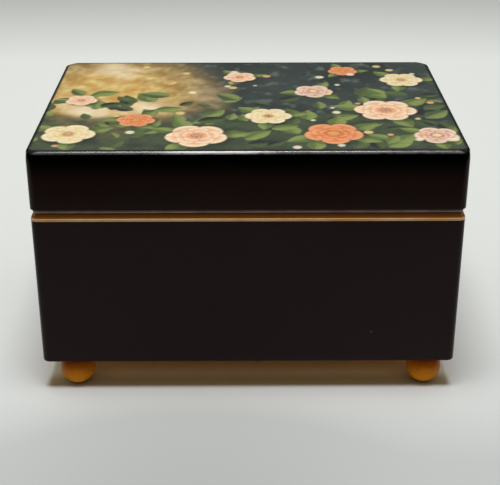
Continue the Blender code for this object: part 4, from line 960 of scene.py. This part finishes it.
def slotted_screw(name, stands_for, way, head, slot_wide=0.5 * MM):
    """A pan-head screw turned in steel, its head up or down, with a driver's slot across the head."""
    centre, radius, low, high = round_of(stands_for)
    shank, reach = radius * 0.55, high.z - low.z
    profile = [(0, 0), (radius * 0.62, -0.04 * head), (radius * 0.88, -0.2 * head), (radius, -0.5 * head),
               (radius * 0.99, -head), (shank, -head), (shank, -reach), (0, -reach)]
    groove = cuboid((-radius * 1.1, -slot_wide / 2, -head * 0.45), (radius * 1.1, slot_wide / 2, head))
    shape = combined(turned(profile, (0, 0, 0), steps=40), [moved(groove, 0.5)])
    face = high.z if way > 0 else low.z
    moved(shape, 0 if way > 0 else math.pi, "X", (centre.x, centre.y, face))
    finished(name, shape, "ground_steel", "case", stands_for)


class MUSICBOX_OT_hinges(bpy.types.Operator):
    """Model the two brass butt hinges, their pins and the screws in their leaves"""

    bl_idname = "musicbox.hinges"
    bl_label = "Brass hinges"

    def execute(self, context):
        for side in ("left", "right"):
            axis, half, low, high = round_of(f"hinge_{side}_pin")
            radius = (high.z - low.z) / 2
            point, shoulder = radius * 0.7, half - 0.15 * MM
            profile = [(0, -half), (point, -half), (radius, -shoulder), (radius, shoulder), (point, half),
                       (0, half)]
            finished(f"hinge_{side}_round_pin", turned(profile, axis, "X", 28), "turned_brass", "case",
                     f"hinge_{side}_pin")
            for above in (False, True):
                self.leaf(side, above, axis, half, radius)
        return {"FINISHED"}

    def leaf(self, side, above, axis, half, pin_radius):
        """One leaf with its knuckles, its screw holes and its screws."""
        kind, body, way = ("lid", "lid", -1) if above else ("body", "case", 1)
        name = f"hinge_{side}_{kind}_leaf"
        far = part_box(name)[0].y
        knuckle, gap, thick, apart = 1.5 * MM, 0.3 * MM, 0.8 * MM, 0.15 * MM
        notch = axis.y - knuckle - gap
        inner = 2.5 * MM + (0 if above else gap)
        bottom = axis.z + apart if above else axis.z - apart - thick
        sides, between = (notch, axis.y) if above else (axis.y, notch)
        outline = [(-half, far), (half, far), (half, sides), (inner, sides), (inner, between),
                   (-inner, between), (-inner, sides), (-half, sides)]
        shape = plate([(axis.x + x, y) for x, y in outline], bottom, bottom + thick)
        spans = [(-inner, inner)] if above else [(-half, -inner), (inner, half)]
        shape = combined(shape, [turned(rod(knuckle, start, end, sizes().metal_arris), axis, "X", 48)
                                 for start, end in spans], "UNION")

        def sunk(profile_mm, spot):
            return turned([(radius * MM, way * height * MM) for radius, height in profile_mm], spot, steps=32)

        hole = [(0, -1), (0.7, -1), (0.7, -0.5), (1.35, 0), (1.35, 0.5), (0, 0.5)]
        screw = [(0, -0.06), (1, -0.1), (1.27, -0.14), (0.62, -0.62), (0.62, -2.4), (0, -3.2)]
        face = bottom if above else bottom + thick
        spots = [(axis.x + off, (far + notch) / 2, face) for off in (-4.6 * MM, 4.6 * MM)]
        bore = rod(pin_radius + 0.08 * MM, -half * 1.2, half * 1.2)
        shape = combined(shape, [turned(bore, axis, "X", 28), *(sunk(hole, spot) for spot in spots)])
        finished(f"brass_{name}", shape, "turned_brass", body, name)
        screws = []
        for number, spot in enumerate(spots):
            groove = cuboid((-1.5 * MM, -0.17 * MM, -0.38 * MM), (1.5 * MM, 0.17 * MM, 0.4 * MM))
            moved(groove, 0.4 + 1.1 * number)
            bmesh.ops.scale(groove, vec=(1, 1, way), verts=groove.verts)
            outward(groove)
            screws.append(combined(sunk(screw, spot), [moved(groove, to=spot)]))
        finished(f"hinge_{side}_{kind}_screws", merged(*screws), "turned_brass", body)


# Operators for the movement


class MUSICBOX_OT_castings(bpy.types.Operator):
    """Finish the bedplate, the governor's frame and its cap"""

    bl_idname = "musicbox.castings"
    bl_label = "Castings"

    def execute(self, context):
        dressed("bedplate", "plated_casting", 0.22 * MM)
        dressed("governor_frame governor_cap", "plated_casting", 0.15 * MM)
        return {"FINISHED"}


class MUSICBOX_OT_barrel(bpy.types.Operator):
    """Model the spring barrel and finish its crown wheel and mainspring"""

    bl_idname = "musicbox.barrel"
    bl_label = "Spring barrel"

    def execute(self, context):
        centre, radius, low, high = round_of("spring_barrel")
        wall, bore, soft, band, step = 0.7 * MM, 2.08 * MM, 0.25 * MM, 1.2 * MM, 0.15 * MM
        profile = [(radius - soft, high.z), (radius, high.z - soft), (radius, high.z - band),
                   (radius - step, high.z - band - step), (radius - step, low.z + band + step),
                   (radius, low.z + band), (radius, low.z + soft), (radius - soft, low.z), (bore, low.z),
                   (bore, low.z + wall), (radius - wall, low.z + wall), (radius - wall, high.z)]
        finished("turned_spring_barrel", turned(profile, (centre.x, centre.y, 0), steps=96, closed=True),
                 "turned_brass", "barrel", "spring_barrel")
        dressed("crown_wheel", "turned_brass")
        dressed("mainspring", "ground_steel")
        return {"FINISHED"}


class MUSICBOX_OT_winding(bpy.types.Operator):
    """Model the winding arbor and the butterfly key under the box"""

    bl_idname = "musicbox.winding"
    bl_label = "Key and arbor"

    def execute(self, context):
        centre, radius, low, high = round_of("winding_arbor")
        shape = turned(rod(radius, low.z, high.z, 0.2 * MM), (centre.x, centre.y, 0), steps=48)
        finished("turned_winding_arbor", shape, "ground_steel", "winding", "winding_arbor")

        centre, _, _, high = round_of("winding_key")
        shank, reach, waist, depth = 2.8 * MM, 5.6 * MM, 2.6 * MM, 4.6 * MM
        profile = [(0, -reach), (shank - 0.5 * MM, -reach), (shank, 0.5 * MM - reach), (shank, -1.1 * MM),
                   (waist, -0.9 * MM), (waist, -0.6 * MM), (shank, -0.4 * MM), (waist, 0), (0, 0)]
        shape = turned(profile, (centre.x, centre.y, high.z), steps=56)
        ear, spread, drop, thick, open_to = 3.5 * MM, 5.4 * MM, 5.6 * MM, 1.2 * MM, math.radians(140)
        half = arc((spread, 0), ear, -open_to, open_to, 32)
        ears = plate(half + [(-x, -y) for x, y in half], -thick / 2, thick / 2)
        rims = [edge for edge in ears.edges if abs(edge.verts[0].co.z - edge.verts[1].co.z) < TOUCH]
        round_off(ears, rims, 0.3 * MM, 3)
        moved(ears, QUARTER, "X", (centre.x, centre.y, high.z - drop))
        shape = combined(shape, [ears], "UNION")
        bore = rod(radius + 0.08 * MM, -depth, MM)
        holes = [turned(bore, (centre.x, centre.y, high.z), steps=48)]
        for sign in (1, -1):
            eye = turned(rod(ear * 0.35, -2 * MM, 2 * MM), (0, 0, 0), steps=36)
            holes.append(moved(eye, QUARTER, "X", (centre.x + sign * spread, centre.y, high.z - drop)))
        finished("butterfly_key", combined(shape, holes), "ground_steel", "winding", "winding_key")
        return {"FINISHED"}


class MUSICBOX_OT_cylinder(bpy.types.Operator):
    """Model the pinned cylinder, and finish its arbor, its wheel and the comb that it plays"""

    bl_idname = "musicbox.cylinder"
    bl_label = "Cylinder and comb"

    def execute(self, context):
        centre, half, _, _ = round_of("pinned_cylinder")
        radius, bore, soft = 6.3 * MM, 1.18 * MM, 0.15 * MM
        profile = [(radius - soft, half), (radius, half - soft), (radius, soft - half),
                   (radius - soft, -half), (bore, -half), (bore, half)]
        drum = turned(profile, centre, "X", 96, True)
        notes, places, share, pin, proud = 18, 36, 0.36, 0.2 * MM, 0.5 * MM
        draw = random.Random(7)
        pins = bmesh.new()
        for note in range(notes):
            for number in range(places):
                if draw.random() > share:
                    continue
                made = bmesh.ops.create_cone(pins, cap_ends=True, segments=7, radius1=pin,
                                             radius2=pin * 0.75, depth=2 * proud)["verts"]
                along = (note + 0.5) * 2 * half / notes - half
                bmesh.ops.translate(pins, vec=(along, 0, radius), verts=made)
                bmesh.ops.rotate(pins, cent=(0, 0, 0), matrix=Matrix.Rotation(TURN * number / places, 3, "X"),
                                 verts=made)
        finished("turned_cylinder", drum, "turned_brass", "cylinder", "pinned_cylinder")
        finished("cylinder_pins", moved(pins, to=centre), "ground_steel", "cylinder",
                 weighted=False)
        dressed("cylinder_arbor", "ground_steel")
        dressed("cylinder_wheel", "turned_brass", 0.05 * MM, 1)
        dressed("comb", "ground_steel", 0.06 * MM, 2)
        for number in (1, 2):
            slotted_screw(f"slotted_comb_screw_{number}", f"comb_screw_{number}", 1, 1.0 * MM)
        for number in (1, 2, 3):
            slotted_screw(f"slotted_movement_screw_{number}", f"movement_screw_{number}", -1, 1.3 * MM,
                          0.7 * MM)
        return {"FINISHED"}


class MUSICBOX_OT_governor(bpy.types.Operator):
    """Finish the governor's wheels, its worm and its fan"""

    bl_idname = "musicbox.governor"
    bl_label = "Governor"

    def execute(self, context):
        dressed("worm_wheel", "moulded_nylon", 0.06 * MM, 1)
        dressed("governor_fan", "moulded_nylon", 0.08 * MM, 2)
        dressed("idler_arbor worm_shaft", "ground_steel")
        return {"FINISHED"}


class MUSICBOX_OT_stop(bpy.types.Operator):
    """Model the bent stop wire, its collar, its bush and the return spring that lifts it"""

    bl_idname = "musicbox.stop"
    bl_label = "Stop wire"

    def execute(self, context):
        wire, bend, soft, sleeve = 0.7 * MM, 2.5 * MM, 0.15 * MM, 2.0 * MM
        centre, flange, bush_low, bush_high = round_of("stop_bush")
        low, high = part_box("stop_wire")
        worm = round_of("worm_shaft")[0]
        corner = Vector((centre.x, centre.y, low.z + wire))
        end = Vector((worm.x, worm.y, corner.z))
        ahead = (end - corner).normalized()
        turn = arc((bend, bend), bend, 2 * QUARTER, 3 * QUARTER, 14)
        points = [Vector((centre.x, centre.y, high.z))]
        points += [corner + ahead * far + Vector((0, 0, up)) for far, up in turn] + [end]
        finished("bent_stop_wire", tube(points, wire, 20), "ground_steel", "stop", "stop_wire")

        bore = wire + 0.08 * MM
        _, radius, low, high = round_of("stop_collar")
        collar = [(radius - soft, high.z), (radius, high.z - soft), (radius, low.z + soft),
                  (radius - soft, low.z), (bore, low.z), (bore, high.z)]
        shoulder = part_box("movement_cover")[1].z + 0.3 * MM
        bush = [(flange - soft, bush_high.z), (flange, bush_high.z - soft), (flange, shoulder),
                (sleeve, shoulder), (sleeve, bush_low.z), (bore, bush_low.z), (bore, bush_high.z)]
        for name, profile, body in (("stop_collar", collar, "stop"), ("stop_bush", bush, "case")):
            shape = turned(profile, (centre.x, centre.y, 0), steps=48, closed=True)
            finished(f"turned_{name}", shape, "turned_brass", body, name)

        low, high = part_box("return_spring")
        turns, each, thin, around = 7, 28, 0.3 * MM, 2.0 * MM
        rise = (high.z - low.z - 2 * thin) / (turns * each)
        circle = arc(centre, around, 0, TURN * turns, turns * each)
        coil = [(x, y, low.z + thin + rise * index) for index, (x, y) in enumerate(circle)]
        spring = finished("wound_return_spring", tube(coil, thin, 12), "ground_steel", None,
                          "return_spring", weighted=False)
        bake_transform(spring)
        return {"FINISHED"}


# The printed sheet on the lid


def soft_step(edge, width, values):
    """1 where values are under an edge, 0 over it, smooth across a width."""
    share = np.clip((edge - values) / width + 0.5, 0.0, 1.0)
    return share * share * (3 - 2 * share)


def laid_over(picture, *layers):
    """Colours laid over a picture in turn, each where its cover says."""
    for shade, cover in layers:
        cover = np.clip(cover, 0.0, 1.0)[:, None]
        picture = picture * (1 - cover) + np.asarray(shade)[None, :3] * cover
    return picture


def cloudy(x, y, size, seed):
    """Soft clouds between 0 and 1 with features of a size, from turned sine waves."""
    draw = random.Random(seed)
    total = np.zeros_like(x)
    weight = 0.0
    for octave in range(4):
        for _ in range(5):
            turn = draw.uniform(0, TURN)
            wave = TURN / (size / 2 ** octave) * draw.uniform(0.7, 1.3)
            shift = draw.uniform(0, TURN)
            bend = np.sin((x * math.sin(turn) - y * math.cos(turn)) * wave * 0.6 + shift * 2)
            total += np.sin((x * math.cos(turn) + y * math.sin(turn)) * wave + shift + bend) / 1.8 ** octave
            weight += 1 / 1.8 ** octave
    return 0.5 + total / weight * 1.1


def paint_leaf(picture, x, y, spot, turn, size, shade, light):
    """A pointed leaf with a pale rib."""
    dx, dy = x - spot[0], y - spot[1]
    along = dx * math.cos(turn) + dy * math.sin(turn)
    across = dy * math.cos(turn) - dx * math.sin(turn)
    place = np.clip(along / size, 0.0, 1.0)
    width = 0.3 * size * np.sin(math.pi * place ** 0.8)
    inside = soft_step(0.0, 0.7, np.abs(across) - width) * (along > 0) * (along < size)
    lit = inside * soft_step(0.0, 0.25 * size, across) * 0.6
    rib = inside * soft_step(0.0, 0.5, np.abs(across) - 0.12 * (1 - place)) * 0.7
    return laid_over(picture, (shade, inside), (light, lit), (light, rib))


def paint_bloom(picture, x, y, spot, radius, petals, turn, shades):
    """An open bloom: rings of overlapping petals around a seeded middle."""
    rim, body, deep, heart = shades
    dx, dy = x - spot[0], y - spot[1]
    away, angle = np.hypot(dx, dy), np.arctan2(dy, dx)
    shadow = soft_step(radius * 1.06, radius * 0.35, np.hypot(dx - radius * 0.1, dy + radius * 0.12))
    picture = laid_over(picture, ([0.012, 0.016, 0.014], shadow * 0.55))
    for ring, (reach, count) in enumerate(((1.0, petals), (0.74, petals), (0.48, petals - 1))):
        lobes = np.abs(np.cos((angle * count + turn + ring * math.pi) / 2))
        edge = radius * reach * (1 - 0.2 * (1 - lobes ** 0.7))
        inside = soft_step(0.0, 0.8, away - edge)
        share = np.clip(away / np.maximum(edge, 1e-6), 0.0, 1.0)
        gap = inside * soft_step(0.0, 0.5, lobes - 0.14) * (share > 0.3)
        picture = laid_over(picture, (deep, inside), (body, inside * soft_step(-0.35, 0.6, -share)),
                            (rim, inside * soft_step(-0.8, 0.35, -share) * 0.85), (deep, gap * 0.7))
    middle = soft_step(radius * 0.2, 1.0, away)
    seeds = soft_step(0.0, 0.6, np.sin(angle * 7 + away * 3) * 0.6 - 0.2) * middle
    return laid_over(picture, (heart, middle), (rim, seeds * 0.5))


def printed_colours(x, y, wide, deep):
    """The printed design over a sheet of a width and depth, for points given in millimetres from its
    middle: a garden border of open blooms and leaves before a warm evening sky, on a dark ground."""
    ink = {name: np.array(linear(code)[:3]) for name, code in {
        "slate": "#3b4440", "night": "#242c29", "moss": "#48553a", "leaf": "#5d6e3c", "young": "#93a05a",
        "ochre": "#c79a4e", "straw": "#e0c884", "cream": "#f0e3c4", "peach": "#e7a77a", "orange": "#d9743a",
        "rust": "#9c4322", "rose": "#c9877a", "grey": "#6c7872",
    }.items()}

    def clipped(pattern, gain, less):
        return np.clip(pattern * gain - less, 0, 1)

    clouds, fine = cloudy(x, y, 60, 3), cloudy(x, y, 14, 8)
    glow = soft_step(0.0, 40, np.hypot(x + wide * 0.36, (y - deep * 0.1) / 1.25) - 27 - 10 * clouds)
    bank = soft_step(0.0, 5.0, y + deep * 0.16 - 5 * np.sin(x / 17) - 3 * np.sin(x / 7 + 1))
    picture = laid_over(
        np.tile(ink["slate"], (len(x), 1)), (ink["night"], clouds * 1.1 - 0.2),
        (ink["grey"], clipped(fine, 1, 0.62) * 1.4), (ink["ochre"], glow * 0.92),
        (ink["straw"], glow * clipped(fine, 1.5, 0.35) * 0.85),
        (ink["cream"], glow * clipped(clouds, 1.9, 1.0) * 0.7), (ink["moss"], bank * 0.75),
        (ink["night"], bank * clipped(fine, 1.6, 0.5) * 0.7),
    )
    draw = random.Random(21)
    greens = (("moss", "leaf"), ("leaf", "young"), ("night", "leaf"), ("moss", "young"))
    for _ in range(120):
        spot = (draw.uniform(-0.5, 0.5) * wide, draw.uniform(-0.52, 0.1) * deep)
        first, second = greens[draw.randrange(4)]
        picture = paint_leaf(picture, x, y, spot, draw.uniform(0.2, 2.9), draw.uniform(6, 13), ink[first],
                             ink[second])
    warm, pale = "cream peach orange rust", "cream straw ochre rust"
    ripe, dusky = "peach orange rust ochre", "cream rose rust straw"
    blooms = (
        (-0.42, -0.34, 9.5, 5, 0.4, pale), (-0.27, -0.2, 7, 6, 1, ripe), (-0.12, -0.36, 11, 5, 2, warm),
        (0.05, -0.16, 8.5, 6, 0.2, pale), (0.2, -0.34, 10.5, 5, 1.4, ripe), (0.34, -0.1, 11.5, 6, 0.7, warm),
        (0.44, -0.36, 8.0, 5, 2.6, dusky), (0.17, 0.12, 7.5, 5, 1.1, dusky), (0.41, 0.26, 8.5, 6, 0.1, pale),
        (-0.02, 0.3, 6.5, 5, 2.2, warm), (0.26, 0.38, 6.0, 5, 1.9, ripe), (-0.42, 0.02, 6.0, 5, 0.9, warm),
    )
    for left, up, radius, petals, turn, shades in blooms:
        for way in (turn, turn + 2.2, turn + 4.4):
            spot = (left * wide + radius * 0.7 * math.cos(way), up * deep + radius * 0.7 * math.sin(way))
            picture = paint_leaf(picture, x, y, spot, way, radius * 1.1, ink["leaf"], ink["young"])
        picture = paint_bloom(picture, x, y, (left * wide, up * deep), radius, petals, turn,
                              [ink[shade] for shade in shades.split()])
    for _ in range(40):
        spot = (draw.uniform(-0.48, 0.48) * wide, draw.uniform(-0.48, 0.45) * deep)
        size = draw.uniform(0.8, 1.7)
        dot = soft_step(size, 0.7, np.hypot(x - spot[0], y - spot[1]))
        picture = laid_over(picture, (ink[draw.choice(("straw", "cream", "peach"))], dot * 0.85))
    rim = np.minimum(wide / 2 - np.abs(x), deep / 2 - np.abs(y))
    return laid_over(picture, (ink["night"] * 0.35, soft_step(1.0, 0.5, rim)))


class MUSICBOX_OT_print(bpy.types.Operator):
    """Lay the printed sheet on the lid, with its design held by its points"""

    bl_idname = "musicbox.print_sheet"
    bl_label = "Printed sheet"

    def execute(self, context):
        own = sizes()
        lid_low, lid_high = span("lid_front_rail", "lid_back_rail", "lid_board")
        lid_high.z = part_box("lid_picture")[1].z - own.print_paper
        low = lid_low + Vector((own.print_side, own.print_front, 0))
        high = lid_high - Vector((own.print_side, own.print_back, 0))
        wide, deep, _ = high - low
        middle, centre, half = middle_of(low, high), middle_of(lid_low, lid_high), (lid_high - lid_low) / 2
        shape = bmesh.new()
        bmesh.ops.create_grid(shape, x_segments=round(wide / own.print_cell),
                              y_segments=round(deep / own.print_cell), size=0.5)
        bmesh.ops.scale(shape, vec=(wide, deep, 1), verts=shape.verts)
        bmesh.ops.translate(shape, vec=(middle.x, middle.y, high.z + own.print_paper), verts=shape.verts)
        corner = own.corner_round - own.print_side
        for vert in shape.verts:
            out = Vector((abs(vert.co.x - middle.x) - wide / 2 + corner,
                          abs(vert.co.y - middle.y) - deep / 2 + corner))
            if min(out) > 0 and out.length > corner:
                kept = out.normalized() * corner
                vert.co.x -= math.copysign(out.x - kept.x, vert.co.x - middle.x)
                vert.co.y -= math.copysign(out.y - kept.y, vert.co.y - middle.y)
            past = Vector([abs(vert.co[axis] - centre[axis]) - half[axis] + own.corner_round
                           for axis in (0, 1)])
            beyond = math.hypot(max(past.x, 0), max(past.y, 0)) + min(max(past), 0)
            bent = max(own.lid_edge_round - own.corner_round + beyond, 0)
            vert.co.z -= own.lid_edge_round - math.sqrt(own.lid_edge_round ** 2 - bent ** 2)
        rub_corners(shape, lid_low, lid_high)
        pushed = bmesh.ops.extrude_edge_only(shape, edges=[edge for edge in shape.edges if edge.is_boundary])
        bmesh.ops.translate(shape, vec=(0, 0, -own.print_paper), verts=new_verts(pushed))
        bmesh.ops.contextual_create(shape, geom=[edge for edge in shape.edges if edge.is_boundary])
        outward(shape)
        sheet = finished("printed_sheet", shape, "varnished_print", "lid", "lid_picture",
                         weighted=False)
        spots = np.empty(len(sheet.data.vertices) * 3)
        sheet.data.vertices.foreach_get("co", spots)
        x, y, _ = (spots.reshape(-1, 3) - middle).T / MM
        picture = printed_colours(x, y, wide / MM, deep / MM)
        layer = sheet.data.color_attributes.new("print_colour", "FLOAT_COLOR", "POINT")
        layer.data.foreach_set("color", np.hstack([picture, np.ones((len(picture), 1))]).ravel())
        return {"FINISHED"}


# The stage


def floor_card():
    """Matt pale card under the box. Its tone is painted light and shade: a little deeper towards the
    camera, with a painted darker pool in front of the box, and warmed under the box by painted
    shade that stands for the light its amber underside returns, over the box's own soft shadow. It
    is clear from below, which shows that underside.
    What lies well in front of the box is dark in reflections alone, as a black card there would be,
    so that the lid's upper front mirrors black."""
    own = colours()
    finish, tree, place = new_finish("matt_pale_card", Roughness=0.9, Specular_IOR_Level=0.2)
    # Painted light and shade graded along the floor, with a painted darker pool in front of the box
    forward = node(tree, "SeparateXYZ", place).node.outputs["Y"]
    pool_middle, pool_reach, pool_pull = (-0.02, -0.12, 0.0), 0.09, -0.07
    off = node(tree, "VectorMath", place, pool_middle, operation="DISTANCE")
    pool = node(tree, "MapRange", off, 0.0, pool_reach, pool_pull, 0.0, interpolation_type="SMOOTHSTEP")
    shifted = node(tree, "Math", forward, pool, operation="ADD")
    tone = node(tree, "ValToRGB", node(tree, "MapRange", shifted, -0.3, 0.7), stops=[
        (0.12, own.floor_pool), (0.2, own.floor_front), (0.245, own.floor_near), (0.42, own.floor),
        (0.68, own.floor_back), (0.86, own.floor_far),
    ])
    # Painted warm shade and bounce light under the box's footprint
    low, high = span("case_front", "case_back")
    size = node(tree, "VectorMath", place, operation="ABSOLUTE")
    across, deep, _ = node(tree, "SeparateXYZ", size).node.outputs
    under = node(tree, "Math", node(tree, "MapRange", across, high.x + 0.5 * MM, high.x - 2 * MM),
                 node(tree, "MapRange", deep, high.y + 0.5 * MM, high.y - 1 * MM), operation="MULTIPLY")
    warm = node(tree, "ValToRGB", node(tree, "MapRange", forward, low.y, low.y + 15 * MM), stops=[
        (0.05, own.warm_front), (0.45, own.warm_middle), (0.8, own.warm_back),
    ])
    tone = node(tree, "Mix", under, tone, warm, data_type="RGBA")
    far = node(tree, "MapRange", forward, low.y - 145 * MM, low.y - 185 * MM)
    mirrored = node(tree, "LightPath").node.outputs["Is Glossy Ray"]
    dark = node(tree, "Math", far, mirrored, operation="MULTIPLY")
    tone = node(tree, "Mix", dark, tone, own.reflection_black, data_type="RGBA")
    fibre = node(tree, "TexNoise", place, per_mm(1.5), 3.0)
    surfaced(finish, tone, None, fibre, 0.05, 0.1)
    below = node(tree, "NewGeometry").node.outputs["Backfacing"]
    clear = node(tree, "BsdfTransparent")
    either = node(tree, "MixShader", below, tree.nodes["Principled BSDF"].outputs[0], clear)
    fill(tree.nodes["Material Output"], Surface=either)
    return finish


class MUSICBOX_OT_stage(bpy.types.Operator):
    """Set the floor, the soft studio light and the camera"""

    bl_idname = "musicbox.stage"
    bl_label = "Stage, light and camera"

    def execute(self, context):
        scene = context.scene
        shape = bmesh.new()
        bmesh.ops.create_grid(shape, x_segments=2, y_segments=2, size=4.0)
        ground = as_object(shape, "floor")
        ground.data.materials.append(floor_card())
        self.camera(scene, (-1.386 * MM, -414.999 * MM, 231.356 * MM), -0.313, -25.353, -0.045, 81.86)
        self.lamp("overhead_softbox", (-0.03, -0.12, 1.2), 0.46, 0.38, 10.0)
        self.lamp("wide_fill", (0.1, 0.1, 1.6), 1.3, 1.2, 3.4)
        self.daylight(scene, 0.6)
        scene.view_settings.view_transform = "Standard"
        return {"FINISHED"}

    def camera(self, scene, spot, pan, tilt, roll, focal_mm):
        """The camera where the photo was taken from, its angles in degrees."""
        camera = bpy.data.cameras.new("camera")
        camera.sensor_width = 36
        camera.lens = focal_mm
        camera.clip_start = 0.01
        turn = Matrix.Translation(spot)
        for angle, axis in ((pan, "Z"), (90 + tilt, "X"), (roll, "Z")):
            turn @= Matrix.Rotation(math.radians(angle), 4, axis)
        scene.camera = placed("camera", camera)
        scene.camera.matrix_world = turn

    def lamp(self, name, spot, wide, deep, power):
        """A soft rectangular lamp that looks at the box."""
        lamp = bpy.data.lights.new(name, "AREA")
        lamp.shape = "RECTANGLE"
        lamp.size = wide
        lamp.size_y = deep
        lamp.energy = power
        holder = placed(name, lamp)
        holder.location = spot
        holder.rotation_euler = (Vector((0.0, 0.0, 0.05)) - Vector(spot)).to_track_quat("-Z", "Y").to_euler()

    def daylight(self, scene, strength):
        """Even light from all round, brighter from above, with a pale wall where the camera looks."""
        scene.world = bpy.data.worlds.new("soft_daylight")
        scene.world.use_nodes = True
        tree = scene.world.node_tree
        height = node(tree, "SeparateXYZ", node(tree, "TexCoord")).node.outputs["Z"]
        levels = ((0.0, "#231e19"), (0.3, "#5d5954"), (0.6, "#cfd0d1"), (1.0, "#ffffff"))
        sky = node(tree, "ValToRGB", height, stops=[(spot, linear(code)) for spot, code in levels])
        seen = node(tree, "LightPath")
        wall = node(tree, "Mix", seen, sky, colours().backdrop, data_type="RGBA")
        fill(tree.nodes["Background"], wall, strength)


class MUSICBOX_PT_pieces(bpy.types.Panel):
    """Lists the box's settings and pieces"""

    bl_idname = "MUSICBOX_PT_pieces"
    bl_label = "Music box"
    bl_space_type = "VIEW_3D"
    bl_region_type = "UI"
    bl_category = "Music box"

    def draw(self, context):
        for group in (sizes(), colours()):
            column = self.layout.column(align=True)
            for name in group.__annotations__:
                column.prop(group, name)
        column = self.layout.column(align=True)
        for operator in OPERATORS:
            column.operator(operator.bl_idname)


OPERATORS = (
    MUSICBOX_OT_case,
    MUSICBOX_OT_rim,
    MUSICBOX_OT_lid,
    MUSICBOX_OT_print,
    MUSICBOX_OT_feet,
    MUSICBOX_OT_hinges,
    MUSICBOX_OT_partitions,
    MUSICBOX_OT_velvet,
    MUSICBOX_OT_glass,
    MUSICBOX_OT_castings,
    MUSICBOX_OT_barrel,
    MUSICBOX_OT_winding,
    MUSICBOX_OT_cylinder,
    MUSICBOX_OT_governor,
    MUSICBOX_OT_stop,
    MUSICBOX_OT_stage,
)
CLASSES = (MusicBoxSizes, MusicBoxColours, *OPERATORS, MUSICBOX_PT_pieces)


def register():
    """Make the classes and the scene's settings known to Blender."""
    for known in CLASSES:
        bpy.utils.register_class(known)
    bpy.types.Scene.music_box_sizes = bpy.props.PointerProperty(type=MusicBoxSizes)
    bpy.types.Scene.music_box_colours = bpy.props.PointerProperty(type=MusicBoxColours)


def unregister():
    """Take the settings and the classes away again."""
    del bpy.types.Scene.music_box_colours
    del bpy.types.Scene.music_box_sizes
    for known in reversed(CLASSES):
        bpy.utils.unregister_class(known)


def main():
    """Make every piece in turn."""
    register()
    for operator in OPERATORS:
        group, name = operator.bl_idname.split(".")
        getattr(getattr(bpy.ops, group), name)()


if __name__ == "__main__":
    main()
